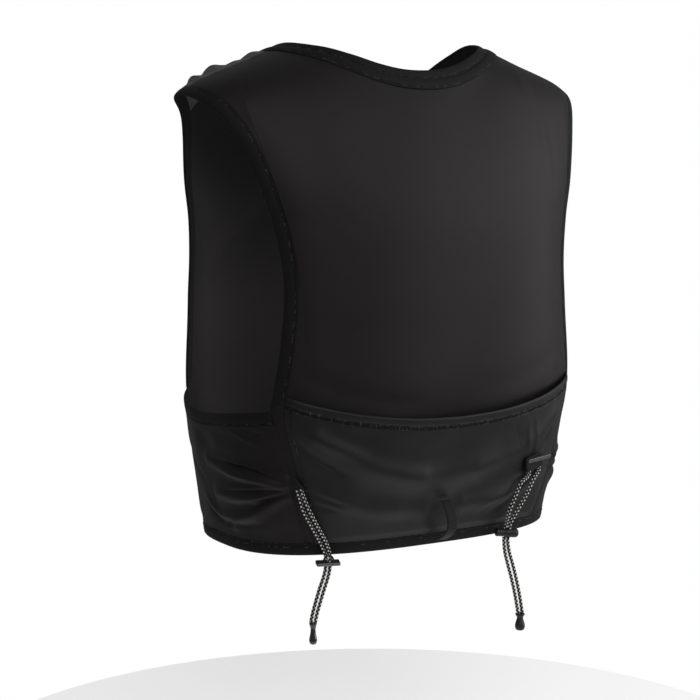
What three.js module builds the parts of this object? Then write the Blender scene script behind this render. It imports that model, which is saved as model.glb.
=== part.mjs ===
import * as THREE from 'three';

// A running vest in the form it has when worn. X points to the wearer's left, Y to the back, Z up.
// The origin lies between the shoulders, level with the middle of both straps, where the vest sits.

// Driving sizes in millimetres
const bodyLength = 393; // from the seat on the shoulders down to the hem
const chestHalfWidth = 165;
const backDepth = 113;
const frontDepth = 112;
const clothWall = 1.2;
const foldedWall = 2.4; // cloth folded over, as in a binding, band or hem
const armBindingWidth = 11.5;
const neckBandWidth = 9;
const neckLayerStep = 0.9; // how far the outer neck band stands over the inner one
const hemBandWidth = 12;
const pocketHemWidth = 11;
const pocketMouthOpen = 11; // how far the pocket's mouth stands off the back
const pocketBagOpen = 3; // how far the pocket stands off the back below its mouth
const frontOpening = 30; // between the two fronts
const shoulderGather = 5.5; // height of the tallest pucker in the shoulder mesh
const strapWidth = 16;
const strapWall = 1.6;
const strapOuterAngle = 146; // where the chest straps end on the fronts
const claspLength = 26;
const claspHeight = 22;
const claspWall = 6;
const claspCorner = 3;
const poleLoopWidth = 10;
const poleLoopRise = 16; // from the pocket out to the top of the loop's arch
const cordWidth = 3;
const strandSpacing = 3.4; // between the middles of a pair of strands
const anchorLength = 13;
const anchorWidths = { left: 8, right: 21 };
const anchorWall = 3;
const anchorCorner = 2.5;
const barLength = 19.5;
const barDepth = 9;
const barWall = 2.6;
const barCorner = 1.2;
const barrelLength = 20;
const barrelWidth = 8;
const endLengths = { left: 18, right: 15 };
const endWidths = { left: 6.6, right: 8.6 };
const seamGap = 0.5; // between pieces that meet edge to edge
const layerGap = 0.6; // between pieces that lie on each other
const meetGap = 0.3; // between a cord and what it runs into, or a fitting and its seat

// Sections of the body from the hem to the neck. Heights are shares of the body length, widths of
// the chest's half width, and depths of the back and front depths; square is the superellipse power.
const sections = [
  { height: -1.05, width: 0.903, back: 0.76, front: 0.89, square: 2.7 },
  { height: -1.0, width: 0.91, back: 0.779, front: 0.9, square: 2.7 },
  { height: -0.87, width: 0.952, back: 0.885, front: 0.93, square: 2.8 },
  { height: -0.687, width: 1.0, back: 0.991, front: 1.0, square: 2.9 },
  { height: -0.501, width: 0.98, back: 1.0, front: 1.02, square: 2.9 },
  { height: -0.407, width: 0.97, back: 0.99, front: 1.0, square: 2.9 },
  { height: -0.318, width: 0.994, back: 0.968, front: 0.946, square: 2.85 },
  { height: -0.247, width: 1.042, back: 0.925, front: 0.875, square: 2.8 },
  { height: -0.183, width: 1.09, back: 0.865, front: 0.786, square: 2.65 },
  { height: -0.13, width: 1.125, back: 0.798, front: 0.69, square: 2.5 },
  { height: -0.0865, width: 1.147, back: 0.735, front: 0.6, square: 2.3 },
  { height: -0.056, width: 1.122, back: 0.683, front: 0.54, square: 2.2 },
  { height: -0.0305, width: 1.028, back: 0.637, front: 0.5, square: 2.15 },
  { height: 0.0204, width: 0.709, back: 0.54, front: 0.43, square: 2.15 },
  { height: 0.0458, width: 0.558, back: 0.487, front: 0.393, square: 2.15 },
  { height: 0.09, width: 0.4, back: 0.42, front: 0.35, square: 2.1 },
];

// Lines on the body. An angle in degrees runs from the middle of the back towards the left side,
// and a height is a share of the body length.
const armholeLine = [
  { angle: 63.6, height: -0.692 },
  { angle: 61.4, height: -0.61 },
  { angle: 60.2, height: -0.53 },
  { angle: 59.7, height: -0.455 },
  { angle: 61.0, height: -0.375 },
  { angle: 63.3, height: -0.3 },
  { angle: 67.4, height: -0.205 },
  { angle: 72.8, height: -0.13 },
  { angle: 79.5, height: -0.08 },
  { angle: 90, height: -0.058 },
  { angle: 101, height: -0.085 },
  { angle: 108, height: -0.145 },
  { angle: 113, height: -0.235 },
  { angle: 116.5, height: -0.34 },
  { angle: 118, height: -0.455 },
  { angle: 118.5, height: -0.575 },
  { angle: 117, height: -0.692 },
];
const underarmLine = [
  { angle: 63.6, height: -0.692 },
  { angle: 72, height: -0.699 },
  { angle: 83, height: -0.709 },
  { angle: 95, height: -0.717 },
  { angle: 106, height: -0.711 },
  { angle: 117, height: -0.692 },
];
const backSeamLine = [
  { angle: 56.5, height: -1.0 },
  { angle: 58.5, height: -0.885 },
  { angle: 60.6, height: -0.775 },
  { angle: 63.6, height: -0.692 },
];
const frontSeamLine = [
  { angle: 121, height: -1.0 },
  { angle: 120, height: -0.885 },
  { angle: 118.5, height: -0.775 },
  { angle: 117, height: -0.692 },
];
const neckLine = [
  { angle: 0, height: -0.0072 },
  { angle: 16, height: -0.0045 },
  { angle: 32, height: 0.0066 },
  { angle: 48, height: 0.0245 },
  { angle: 66, height: 0.041 },
  { angle: 90, height: 0.048 },
  { angle: 108, height: 0.026 },
  { angle: 124, height: -0.022 },
  { angle: 138, height: -0.082 },
  { angle: 152, height: -0.138 },
  { angle: 163, height: -0.177 },
  { angle: 171, height: -0.1865 },
  { angle: 180, height: -0.188 },
];
const pocketSideLine = [
  { angle: 54.2, height: -1.0 },
  { angle: 56.2, height: -0.885 },
  { angle: 58.2, height: -0.775 },
  { angle: 59.4, height: -0.71 },
  { angle: 58.6, height: -0.65 },
];
const pocketMouthLine = [
  { angle: 0, height: -0.711 },
  { angle: 22, height: -0.706 },
  { angle: 38, height: -0.694 },
  { angle: 50, height: -0.676 },
  { angle: 60, height: -0.656 },
];
const yokeNeckShare = 0.2; // how far down the front neckline and armhole the shoulder mesh goes
const yokeArmShare = 0.16;
const strapHeights = { upper: -0.37, lower: -0.62 };

// Puckers of the shoulder mesh. Places and widths are shares of the way from the neck to the arm,
// and heights are shares of the tallest pucker.
const puckers = {
  left: [
    { at: 0.1, width: 0.09, height: 0.55 },
    { at: 0.32, width: 0.08, height: 0.3 },
    { at: 0.56, width: 0.11, height: 1 },
    { at: 0.81, width: 0.07, height: 0.75 },
  ],
  right: [
    { at: 0.12, width: 0.08, height: 0.4 },
    { at: 0.38, width: 0.12, height: 1 },
    { at: 0.63, width: 0.08, height: 0.6 },
    { at: 0.88, width: 0.06, height: 0.8 },
  ],
};

// Main folds: each runs through three places on the body. Height and width are shares of the
// back depth. The side folds draw together at the cord anchors.
const sideFolds = [
  { from: [92, -0.815], over: [76, -0.828], to: [61, -0.838], height: 0.022, width: 0.055 },
  { from: [88, -0.885], over: [75, -0.87], to: [62, -0.852], height: 0.024, width: 0.05 },
  { from: [80, -0.94], over: [70, -0.905], to: [61.5, -0.866], height: 0.02, width: 0.05 },
];
const pocketFolds = [
  { from: [50, -0.74], over: [38, -0.8], to: [16, -0.835], height: 0.018, width: 0.08 },
  { from: [54, -0.85], over: [36, -0.9], to: [12, -0.91], height: 0.02, width: 0.07 },
];

// Places of the cord fittings: an angle, a share of the body length, and millimetres off the body.
// Each bungee strand runs through its places, from its anchor to its lock.
const anchorPlaces = { left: [57.6, -0.84], right: [-43.6, -0.838] };
const barPlace = { angle: 51.9, height: -1.01, lift: 9 };
const barrelPlace = { angle: -38.6, height: -0.988, lift: 11, turn: -25 };
const bungeeRoutes = {
  bungee_left_a: [[56.8, -0.892, 8.3], [55.0, -0.929, 8.8], [53.2, -0.967, 9]],
  bungee_left_b: [[55.2, -0.892, 8.5], [53.4, -0.929, 9], [51.6, -0.967, 9.2]],
  bungee_right_a: [[-38.2, -0.877, 11.5], [-36.5, -0.907, 12.5], [-35.8, -0.935, 12.5]],
  bungee_right_b: [[-44.2, -0.875, 11], [-42.1, -0.905, 12.5], [-39.8, -0.936, 12.8]],
};
const anchorSpacings = { left: 3.4, right: 13 }; // between two strands where they leave an anchor
const poleLoopTop = -0.895;
const poleLoopFoot = -0.985;

// Profiles of turned pieces: shares of the half width, and of the length from one end to the other
const barrelProfile = [
  { radius: 0, along: 0 },
  { radius: 0.75, along: 0 },
  { radius: 0.85, along: 0.05 },
  { radius: 0.85, along: 0.375 },
  { radius: 1, along: 0.4 },
  { radius: 1, along: 0.875 },
  { radius: 0.8, along: 0.96 },
  { radius: 0, along: 1 },
];
const cordEndProfile = [
  { radius: 0, along: 0 },
  { radius: 0.8, along: 0.05 },
  { radius: 1, along: 0.2 },
  { radius: 0.75, along: 0.45 },
  { radius: 0.62, along: 0.7 },
  { radius: 0.85, along: 0.88 },
  { radius: 0.95, along: 1 },
  { radius: 0, along: 1 },
];

// Free tails of the cords, in millimetres, from the lock to the cord end
const tailRoutes = {
  cord_tail_left_a: [
    [101.6, 83.8, -399.7], [101.7, 83.5, -403], [103.1, 82.1, -411], [105.2, 80.6, -418.5],
    [107, 79.3, -426], [108.6, 78.2, -433], [110.2, 77.1, -440.5], [111.4, 76.4, -447.9],
  ],
  cord_tail_left_b: [
    [98.4, 84.9, -399.7], [98.4, 84.6, -403], [99.7, 83.6, -411], [101.8, 82.5, -418.5],
    [103.8, 81.4, -426], [105.5, 80.3, -433], [107.2, 79.1, -440.5], [108.4, 78.2, -447.9],
  ],
  cord_tail_right_a: [
    [-67.9, 94.3, -394.8], [-68, 94, -398], [-69.3, 93.8, -408], [-72.4, 93.8, -419],
    [-75.8, 93.9, -430], [-78.8, 94, -441], [-81.4, 94, -452], [-83.6, 94, -463.2],
  ],
  cord_tail_right_b: [
    [-71.1, 95.2, -395.1], [-71.4, 94.7, -398], [-73.7, 93.7, -408], [-77.4, 93.6, -419],
    [-80.9, 93.4, -430], [-83.6, 93.7, -441], [-86, 93.9, -452], [-87.9, 94, -463.2],
  ],
};

const black = { color: 0x17171a, roughness: 0.62, metalness: 0 };
const finishes = {
  stretch: new THREE.MeshStandardMaterial(black),
  pocket: new THREE.MeshStandardMaterial({ color: 0x1b1b1e, roughness: 0.55, metalness: 0 }),
  binding: new THREE.MeshStandardMaterial({ color: 0x101012, roughness: 0.85, metalness: 0 }),
  mesh: new THREE.MeshStandardMaterial({ color: 0x2b2b2e, roughness: 0.8, metalness: 0 }),
  webbing: new THREE.MeshStandardMaterial({ color: 0x141416, roughness: 0.8, metalness: 0 }),
  cord: new THREE.MeshStandardMaterial({ color: 0x2c2c2c, roughness: 0.8, metalness: 0 }),
  plastic: new THREE.MeshStandardMaterial({ color: 0x0c0c0d, roughness: 0.35, metalness: 0 }),
};

const vest = new THREE.Group();
const mix = (a, b, share) => a + (b - a) * share;
const vector = (x, y, z) => new THREE.Vector3(x, y, z);

function addMesh(name, geometry, finish) {
  const mesh = new THREE.Mesh(geometry, finishes[finish]);
  mesh.name = name;
  vest.add(mesh);
}

// A smooth value of one column of a table, whose rows are in the order of the key column
function readTable(rows, key, column, at) {
  const last = rows.length - 1;
  const slope = (i) => {
    const before = rows[Math.max(i - 1, 0)];
    const after = rows[Math.min(i + 1, last)];
    return (after[column] - before[column]) / (after[key] - before[key]);
  };
  const inside = Math.min(Math.max(at, rows[0][key]), rows[last][key]);
  const low = Math.max(rows.findLastIndex((row, i) => i < last && row[key] <= inside), 0);
  const span = rows[low + 1][key] - rows[low][key];
  const t = (inside - rows[low][key]) / span;
  const a = rows[low][column];
  const b = rows[low + 1][column];
  const ease = t * t * (3 - 2 * t);
  return mix(a, b, ease) + span * t * (1 - t) * (slope(low) * (1 - t) - slope(low + 1) * t);
}

// A place is [angle, height share]. The body is a superellipse around Z at each height.
function bodyPoint([angle, height]) {
  const value = (column) => readTable(sections, 'height', column, height);
  const turn = THREE.MathUtils.degToRad(angle);
  const depth = Math.cos(turn) > 0 ? value('back') * backDepth : value('front') * frontDepth;
  const power = value('square');
  const wide = (Math.abs(Math.sin(turn)) / (value('width') * chestHalfWidth)) ** power;
  const deep = (Math.abs(Math.cos(turn)) / depth) ** power;
  const reach = (wide + deep) ** (-1 / power);
  return vector(reach * Math.sin(turn), reach * Math.cos(turn), height * bodyLength);
}

// The body's two directions at a place: per degree, and per share of height
function bodySlopes([angle, height]) {
  const turn = 0.25;
  const rise = 0.001;
  const aside = bodyPoint([angle + turn, height]).sub(bodyPoint([angle - turn, height]));
  const up = bodyPoint([angle, height + rise]).sub(bodyPoint([angle, height - rise]));
  return [aside.divideScalar(2 * turn), up.divideScalar(2 * rise)];
}

function bodyNormal(place) {
  const [aside, up] = bodySlopes(place);
  return up.cross(aside).normalize();
}

function onBody(place, lift) {
  return bodyPoint(place).addScaledVector(bodyNormal(place), lift);
}

// The place on the body that is nearest to a point, from a start near it
function nearestPlace(target, start) {
  const rounds = 6;
  let place = start;
  for (let round = 0; round < rounds; round += 1) {
    const [aside, up] = bodySlopes(place);
    const miss = target.clone().sub(bodyPoint(place));
    const cross = aside.dot(up);
    const size = aside.lengthSq() * up.lengthSq() - cross * cross;
    const turn = (miss.dot(aside) * up.lengthSq() - miss.dot(up) * cross) / size;
    const rise = (miss.dot(up) * aside.lengthSq() - miss.dot(aside) * cross) / size;
    place = [place[0] + turn, place[1] + rise];
  }
  return place;
}

// A line through a table's places, as a function of the share of its length
function lineThrough(rows) {
  const degreesPerShare = 160; // makes angles and height shares count about alike
  const spline = new THREE.SplineCurve(
    rows.map((row) => new THREE.Vector2(row.angle / degreesPerShare, row.height)),
  );
  return (share) => {
    const point = spline.getPointAt(Math.min(Math.max(share, 0), 1));
    return [point.x * degreesPerShare, point.y];
  };
}

const straightLine = (from, to) => (share) => [mix(from[0], to[0], share), mix(from[1], to[1], share)];
const partOf = (line, from, to) => (share) => line(mix(from, to, share));
const reversed = (line) => partOf(line, 1, 0);
const mirrored = (patch) => (u, v) => {
  const [angle, height] = patch(1 - u, v);
  return [-angle, height];
};

// The place at a distance to the right of a line, as someone walking it on the body sees it
function besideLine(line, share, distance) {
  const step = 0.004;
  const here = line(share);
  const after = bodyPoint(line(Math.min(share + step, 1)));
  const ahead = after.sub(bodyPoint(line(Math.max(share - step, 0)))).normalize();
  const aside = ahead.cross(bodyNormal(here));
  return nearestPlace(bodyPoint(here).addScaledVector(aside, distance), here);
}

// A band beside a line, from one distance to another. Its ends may be cut back by a share.
function bandBeside(line, near, far, cutBack = 0) {
  return (u, v) => besideLine(line, mix(cutBack * v, 1 - cutBack * v, u), mix(near, far, v));
}

// Lines joined end to end, with a fixed number of cells for each
function joined(parts) {
  const total = parts.reduce((sum, part) => sum + part.cells, 0);
  return (share) => {
    let rest = share * total;
    for (const part of parts) {
      if (rest <= part.cells || part === parts[parts.length - 1]) {
        return part.line(Math.min(rest / part.cells, 1));
      }
      rest -= part.cells;
    }
    return null;
  };
}

// The same patch with its columns paced along u: each stop has a number of cells up to a share
function paced(patch, stops) {
  const total = stops.reduce((sum, stop) => sum + stop.cells, 0);
  return (u, v) => {
    let rest = u * total;
    let from = 0;
    for (const { cells, until } of stops) {
      if (rest <= cells) {
        return patch(mix(from, until, rest / cells), v);
      }
      rest -= cells;
      from = until;
    }
    return patch(1, v);
  };
}

// A patch between four lines: u runs from left to right, and v from bottom to top
function patchBetween({ left, right, bottom, top }) {
  return (u, v) => [0, 1].map((k) => {
    const sides = mix(left(v)[k], right(v)[k], u);
    const ends = mix(bottom(u)[k], top(u)[k], v);
    const corners = mix(mix(left(0)[k], right(0)[k], u), mix(left(1)[k], right(1)[k], u), v);
    return sides + ends - corners;
  });
}

// How far folds lift the cloth at a place. Where they meet, the highest counts.
function foldLift(folds) {
  const samples = 9;
  const spines = folds.map((fold) => {
    const turned = fold.mirror ? -1 : 1;
    const line = lineThrough([fold.from, fold.over, fold.to].map(([angle, height]) => (
      { angle: angle * turned, height })));
    const points = Array.from({ length: samples }, (_, i) => bodyPoint(line(i / (samples - 1))));
    return { ...fold, points };
  });
  return (place) => {
    const here = bodyPoint(place);
    return Math.max(...spines.map((fold) => {
      const near = Math.min(...fold.points.map((point) => point.distanceTo(here)));
      const share = near / (fold.width * backDepth);
      return fold.height * backDepth * Math.exp(-share * share);
    }));
  };
}

// A closed wall over a patch. A gap is left round its edge, lift is how far the inner face stands
// off the body, and wall is the thickness; both may change over the patch.
function clothShell(patch, { columns, rows, lift, wall, edgeGap = seamGap / 2 }) {
  const spots = [];
  const inset = (i, count, along) => {
    if (i > 0 && i < count) {
      return i / count;
    }
    const cell = bodyPoint(along(0.5 / count)).distanceTo(bodyPoint(along(1 / count))) * 2;
    const cut = edgeGap / cell / count;
    return i === 0 ? cut : 1 - cut;
  };
  for (let row = 0; row <= rows; row += 1) {
    for (let column = 0; column <= columns; column += 1) {
      const roughV = row / rows;
      const u = inset(column, columns, (share) => patch(column === 0 ? share : 1 - share, roughV));
      const v = inset(row, rows, (share) => patch(u, row === 0 ? share : 1 - share));
      spots.push({ place: patch(u, v), u, v });
    }
  }
  const face = (height) => spots.map(({ place, u, v }) => onBody(place, height(place, u, v)));
  const inner = face(lift);
  const outer = face((place, u, v) => lift(place, u, v) + wall(u, v));
  return closedWall(inner, outer, columns, rows);
}

// A closed solid between two grids of points
function closedWall(inner, outer, columns, rows) {
  const wide = columns + 1;
  const offset = inner.length;
  const faces = [];
  const quad = (a, b, c, d) => faces.push([a, b, c], [a, c, d]);
  for (let row = 0; row < rows; row += 1) {
    for (let column = 0; column < columns; column += 1) {
      const a = row * wide + column;
      quad(offset + a, offset + a + 1, offset + a + wide + 1, offset + a + wide);
      quad(a, a + wide, a + wide + 1, a + 1);
    }
  }
  const rim = [];
  for (let column = 0; column < columns; column += 1) {
    rim.push([column, column + 1]);
    rim.push([rows * wide + column + 1, rows * wide + column]);
  }
  for (let row = 0; row < rows; row += 1) {
    rim.push([(row + 1) * wide, row * wide]);
    rim.push([row * wide + columns, (row + 1) * wide + columns]);
  }
  rim.forEach(([a, b]) => quad(a, b, offset + b, offset + a));
  return solidFrom([...inner, ...outer], faces);
}

// A geometry from points and triangles, turned to face out
function solidFrom(points, faces) {
  const volume = faces.reduce((sum, [a, b, c]) => (
    sum + points[a].dot(points[b].clone().cross(points[c]))), 0);
  const turned = volume > 0 ? faces : faces.map(([a, b, c]) => [a, c, b]);
  const geometry = new THREE.BufferGeometry().setFromPoints(points);
  geometry.setIndex(turned.flat());
  geometry.computeVertexNormals();
  return geometry;
}

const even = (value) => () => value;
const bandSink = (clothWall - foldedWall) / 2; // the inner face of a band, from the body's surface
const bandTop = (clothWall + foldedWall) / 2; // and its outer face

// The wall of a rounded band, thickest along its middle
function bandWall(u, v) {
  const edgeLoss = 0.3;
  return foldedWall * (1 - edgeLoss * (2 * v - 1) ** 2);
}

// How many cells each stretch of a binding has. The panel beside it has the same number of rows.
const armCells = { back: 12, yoke: 4, front: 12 };
const neckCells = { front: 8, yoke: 4, back: 20 };

const armhole = lineThrough(armholeLine);
const backSeam = lineThrough(backSeamLine);
const frontSeam = lineThrough(frontSeamLine);
const neckFree = lineThrough([...neckLine].reverse().concat(
  neckLine.slice(1).map((row) => ({ ...row, angle: -row.angle }))));

// The share of a line at which its angle or its height comes to a value
function shareWhere(line, { angle, height }, from = 0, to = 1) {
  const rounds = 30;
  const [k, value] = angle === undefined ? [1, height] : [0, angle];
  const rising = line(to)[k] > line(from)[k];
  let low = from;
  let high = to;
  for (let round = 0; round < rounds; round += 1) {
    const middle = (low + high) / 2;
    if (line(middle)[k] < value === rising) {
      low = middle;
    } else {
      high = middle;
    }
  }
  return (low + high) / 2;
}

function lengthOn(line) {
  const steps = 60;
  let length = 0;
  for (let i = 0; i < steps; i += 1) {
    length += bodyPoint(line(i / steps)).distanceTo(bodyPoint(line((i + 1) / steps)));
  }
  return length;
}

const hemTop = -1 + hemBandWidth / bodyLength;
const opening = (height) => {
  const [, reach] = bodyPoint([180, height]).toArray();
  return 180 - THREE.MathUtils.radToDeg(Math.atan2(frontOpening / 2, -reach));
};

// The bindings' inner edges, where the panels meet them
const armCutBack = armBindingWidth / lengthOn(armhole);
const armBinding = bandBeside(armhole, 0, armBindingWidth, armCutBack);
const armStitch = (share) => armBinding(share, 1);
const neckStart = shareWhere(neckFree, { angle: opening(neckLine.at(-1).height) }, 0, 0.2);
const neckEdge = partOf(neckFree, neckStart, 1 - neckStart);
const neckStitch = (share) => besideLine(neckEdge, share, 2 * neckBandWidth);
const armRidge = shareWhere(armStitch, { angle: 90 }, 0.2, 0.8);
const neckRidge = shareWhere(neckStitch, { angle: 90 }, 0, 0.5);
const ridge = straightLine(armStitch(armRidge), neckStitch(neckRidge));
const yokeArm = mix(armRidge, 1, yokeArmShare);
const yokeNeck = mix(neckRidge, 0, yokeNeckShare);
const yokeFoot = straightLine(neckStitch(yokeNeck), armStitch(yokeArm));
const bindingEnd = straightLine(armhole(0), armStitch(0));
const frontBindingEnd = straightLine(armhole(1), armStitch(1));
const aboveHem = (seam) => partOf(seam, shareWhere(seam, { height: hemTop }), 1);

// Body panels
function addBackPanel() {
  const cells = { seam: 6, end: 1, armhole: armCells.back, ridge: 6 };
  const otherSide = (line) => (share) => [-line(share)[0], line(share)[1]];
  const side = joined([
    { line: aboveHem(backSeam), cells: cells.seam },
    { line: bindingEnd, cells: cells.end },
    { line: partOf(armStitch, 0, armRidge), cells: cells.armhole },
  ]);
  const hemAngle = side(0)[0];
  const patch = patchBetween({
    left: otherSide(side),
    right: side,
    bottom: straightLine([-hemAngle, hemTop], [hemAngle, hemTop]),
    top: joined([
      { line: otherSide(ridge), cells: cells.ridge },
      { line: partOf(neckStitch, 1 - neckRidge, neckRidge), cells: neckCells.back },
      { line: reversed(ridge), cells: cells.ridge },
    ]),
  });
  addMesh('back_panel', clothShell(patch, {
    columns: neckCells.back + 2 * cells.ridge,
    rows: cells.seam + cells.end + cells.armhole,
    lift: even(0),
    wall: even(clothWall),
  }), 'stretch');
}

function frontPatch() {
  const cells = { seam: 5, end: 1, armhole: armCells.front };
  const rows = cells.seam + cells.end + cells.armhole;
  const side = joined([
    { line: aboveHem(frontSeam), cells: cells.seam },
    { line: frontBindingEnd, cells: cells.end },
    { line: partOf(armStitch, 1, yokeArm), cells: cells.armhole },
  ]);
  const neckCorner = neckStitch(0);
  const miss = neckCorner[0] - opening(neckCorner[1]);
  const openingEdge = (share) => {
    const height = mix(hemTop, neckCorner[1], share);
    return [opening(height) + miss * share ** 4, height];
  };
  const middle = joined([
    { line: openingEdge, cells: rows - neckCells.front },
    { line: partOf(neckStitch, 0, yokeNeck), cells: neckCells.front },
  ]);
  const patch = patchBetween({
    left: side,
    right: middle,
    bottom: straightLine(side(0), middle(0)),
    top: reversed(yokeFoot),
  });
  return { patch, rows };
}

const sideAngle = (u, height) => mix(
  backSeam(shareWhere(backSeam, { height }))[0],
  frontSeam(shareWhere(frontSeam, { height }))[0],
  u,
);
const sideFoldLifts = {
  left: foldLift(sideFolds),
  right: foldLift(sideFolds.map((fold) => ({ ...fold, mirror: true }))),
};
const underHeight = (u) => {
  const angle = mix(underarmLine[0].angle, underarmLine.at(-1).angle, u);
  return readTable(underarmLine, 'angle', 'height', angle);
};

// A stretch of the side between the seams, from one height to another
function sidePatch(low, high) {
  return (u, v) => {
    const height = mix(low(u), high(u), v);
    return [sideAngle(u, height), height];
  };
}

function yokePatch() {
  return patchBetween({
    left: partOf(neckStitch, yokeNeck, neckRidge),
    right: partOf(armStitch, yokeArm, armRidge),
    bottom: yokeFoot,
    top: reversed(ridge),
  });
}

// The yoke is drawn together at its foot and its ridge, and puckers between them, most by the ridge
function gatherLift(side) {
  const ridgePull = 1.8;
  return (place, u, v) => {
    const fromNeck = side === 'left' ? u : 1 - u;
    const along = Math.sin(Math.PI * Math.min(Math.max(v, 0), 1) ** ridgePull);
    return shoulderGather * along * puckers[side].reduce((sum, { at, width, height }) => (
      sum + height * Math.exp(-(((fromNeck - at) / width) ** 2))), 0);
  };
}

function addSidePieces(side, turn) {
  const front = frontPatch();
  addMesh(`front_panel_${side}`, clothShell(turn(front.patch), {
    columns: 9, rows: front.rows, lift: even(0), wall: even(clothWall),
  }), 'stretch');

  const underStitch = (u) => underHeight(u) - armBindingWidth / bodyLength;
  const underColumns = 12;
  addMesh(`side_panel_${side}`, clothShell(turn(sidePatch(even(hemTop), underStitch)), {
    columns: underColumns, rows: 9, lift: sideFoldLifts[side], wall: even(clothWall),
  }), 'stretch');
  addMesh(`underarm_binding_${side}`, clothShell(turn(sidePatch(underStitch, underHeight)), {
    columns: underColumns, rows: 1, lift: even(bandSink), wall: even(foldedWall),
  }), 'binding');
  const armBand = paced(armBinding, [
    { cells: armCells.back, until: armRidge },
    { cells: armCells.yoke, until: yokeArm },
    { cells: armCells.front, until: 1 },
  ]);
  addMesh(`armhole_binding_${side}`, clothShell(turn(armBand), {
    columns: armCells.back + armCells.yoke + armCells.front, rows: 2, lift: even(bandSink), wall: bandWall,
  }), 'binding');
  addMesh(`shoulder_mesh_${side}`, clothShell(turn(yokePatch()), {
    columns: 26, rows: armCells.yoke, lift: gatherLift(side), wall: even(clothWall),
  }), 'mesh');
}

function addNeckBands() {
  const stops = [
    { cells: neckCells.front, until: yokeNeck },
    { cells: neckCells.yoke, until: neckRidge },
    { cells: neckCells.back, until: 1 - neckRidge },
    { cells: neckCells.yoke, until: 1 - yokeNeck },
    { cells: neckCells.front, until: 1 },
  ];
  const columns = 2 * neckCells.front + 2 * neckCells.yoke + neckCells.back;
  const band = (near, far) => paced(bandBeside(neckEdge, near, far), stops);
  addMesh('neck_band_inner', clothShell(band(0, neckBandWidth), {
    columns, rows: 1, lift: even(bandSink), wall: even(foldedWall),
  }), 'binding');
  addMesh('neck_band_outer', clothShell(band(neckBandWidth, 2 * neckBandWidth), {
    columns, rows: 1, lift: even(bandSink + neckLayerStep), wall: even(foldedWall),
  }), 'binding');
}

function addHemBand() {
  const patch = (u, v) => {
    const height = mix(-1, hemTop, v);
    const end = opening(height);
    return [mix(-end, end, u), height];
  };
  addMesh('hem_band', clothShell(patch, {
    columns: 56, rows: 1, lift: even(bandSink), wall: even(foldedWall),
  }), 'binding');
}

// The pocket is a second layer over the lower back, open at its mouth
const mouthHeight = (angle) => readTable(pocketMouthLine, 'angle', 'height', Math.abs(angle));
const pocketEdge = (height) => readTable(pocketSideLine, 'height', 'angle', height);
const pocketRise = ([angle, height]) => (height - hemTop) / (mouthHeight(angle) - hemTop);
const pocketFoldLift = foldLift([
  ...pocketFolds,
  ...pocketFolds.map((fold) => ({ ...fold, mirror: true })),
]);

// How far the pocket's inner face stands off the body: it bags out, and most at its mouth
function pocketLift(place) {
  const fullness = 0.8; // under 1 spreads the bag towards the pocket's sides
  const flare = 2.2; // over 1 keeps the mouth's opening close to the mouth
  const fade = 0.15; // folds end at this share of the pocket's size from its edges
  const rise = Math.max(pocketRise(place), 0);
  const share = Math.min(Math.abs(place[0]) / pocketEdge(place[1]), 1);
  const across = Math.cos((Math.PI / 2) * share) ** fullness;
  const bag = pocketBagOpen * Math.sin(Math.PI * Math.min(rise, 0.5));
  const mouth = (pocketMouthOpen - pocketBagOpen) * rise ** flare;
  const inside = Math.max(0, Math.min(fade, 1 - rise, rise, 1 - share)) / fade;
  return bandTop + layerGap + across * (bag + mouth) + pocketFoldLift(place) * inside;
}

function addPocket() {
  const mouthEdge = pocketEdge(pocketMouthLine.at(-1).height);
  const mouth = (u) => mouthHeight((2 * u - 1) * mouthEdge);
  const hemFoot = (u) => mouth(u) - pocketHemWidth / bodyLength;
  const stretch = (low, high) => (u, v) => {
    const height = mix(low(u), high(u), v);
    return [(2 * u - 1) * pocketEdge(height), height];
  };
  addMesh('back_pocket', clothShell(stretch(even(hemTop), hemFoot), {
    columns: neckCells.back, rows: 9, lift: pocketLift, wall: even(clothWall),
  }), 'pocket');
  addMesh('pocket_hem', clothShell(stretch(hemFoot, mouth), {
    columns: neckCells.back, rows: 1, lift: pocketLift, wall: even(foldedWall),
  }), 'binding');
}

// Straight pieces of the fronts' fastening: a strap on each side and a plain clasp between them
function addSternumStrap(level, height) {
  const halfClasp = claspLength / 2;
  const front = -bodyPoint([180, height]).y;
  const claspEdge = 180 - THREE.MathUtils.radToDeg(Math.atan2(halfClasp + meetGap, front));
  const halfStrap = strapWidth / 2 / bodyLength;
  const strap = (u, v) => [
    mix(strapOuterAngle, claspEdge, u),
    mix(height - halfStrap, height + halfStrap, v),
  ];
  const options = {
    columns: 5, rows: 1, lift: even(clothWall + layerGap), wall: even(strapWall), edgeGap: 0,
  };
  addMesh(`sternum_strap_${level}_left`, clothShell(strap, options), 'webbing');
  addMesh(`sternum_strap_${level}_right`, clothShell(mirrored(strap), options), 'webbing');
  const clasp = roundedSlab(claspLength, claspHeight, claspWall, claspCorner);
  clasp.rotateX(Math.PI / 2);
  const middle = clothWall + layerGap + strapWall / 2;
  clasp.translate(0, -front - middle + claspWall / 2, height * bodyLength);
  addMesh(`sternum_clasp_${level}`, clasp, 'plastic');
}

// A flat slab with round corners, its middle at the origin in X and Y and its wall along Z
function roundedSlab(length, width, wall, corner) {
  const shape = new THREE.Shape();
  const x = length / 2;
  const y = width / 2;
  shape.moveTo(-x + corner, -y);
  shape.lineTo(x - corner, -y);
  shape.quadraticCurveTo(x, -y, x, -y + corner);
  shape.lineTo(x, y - corner);
  shape.quadraticCurveTo(x, y, x - corner, y);
  shape.lineTo(-x + corner, y);
  shape.quadraticCurveTo(-x, y, -x, y - corner);
  shape.lineTo(-x, -y + corner);
  shape.quadraticCurveTo(-x, -y, -x + corner, -y);
  return new THREE.ExtrudeGeometry(shape, { depth: wall, bevelEnabled: false, curveSegments: 3 });
}

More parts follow.
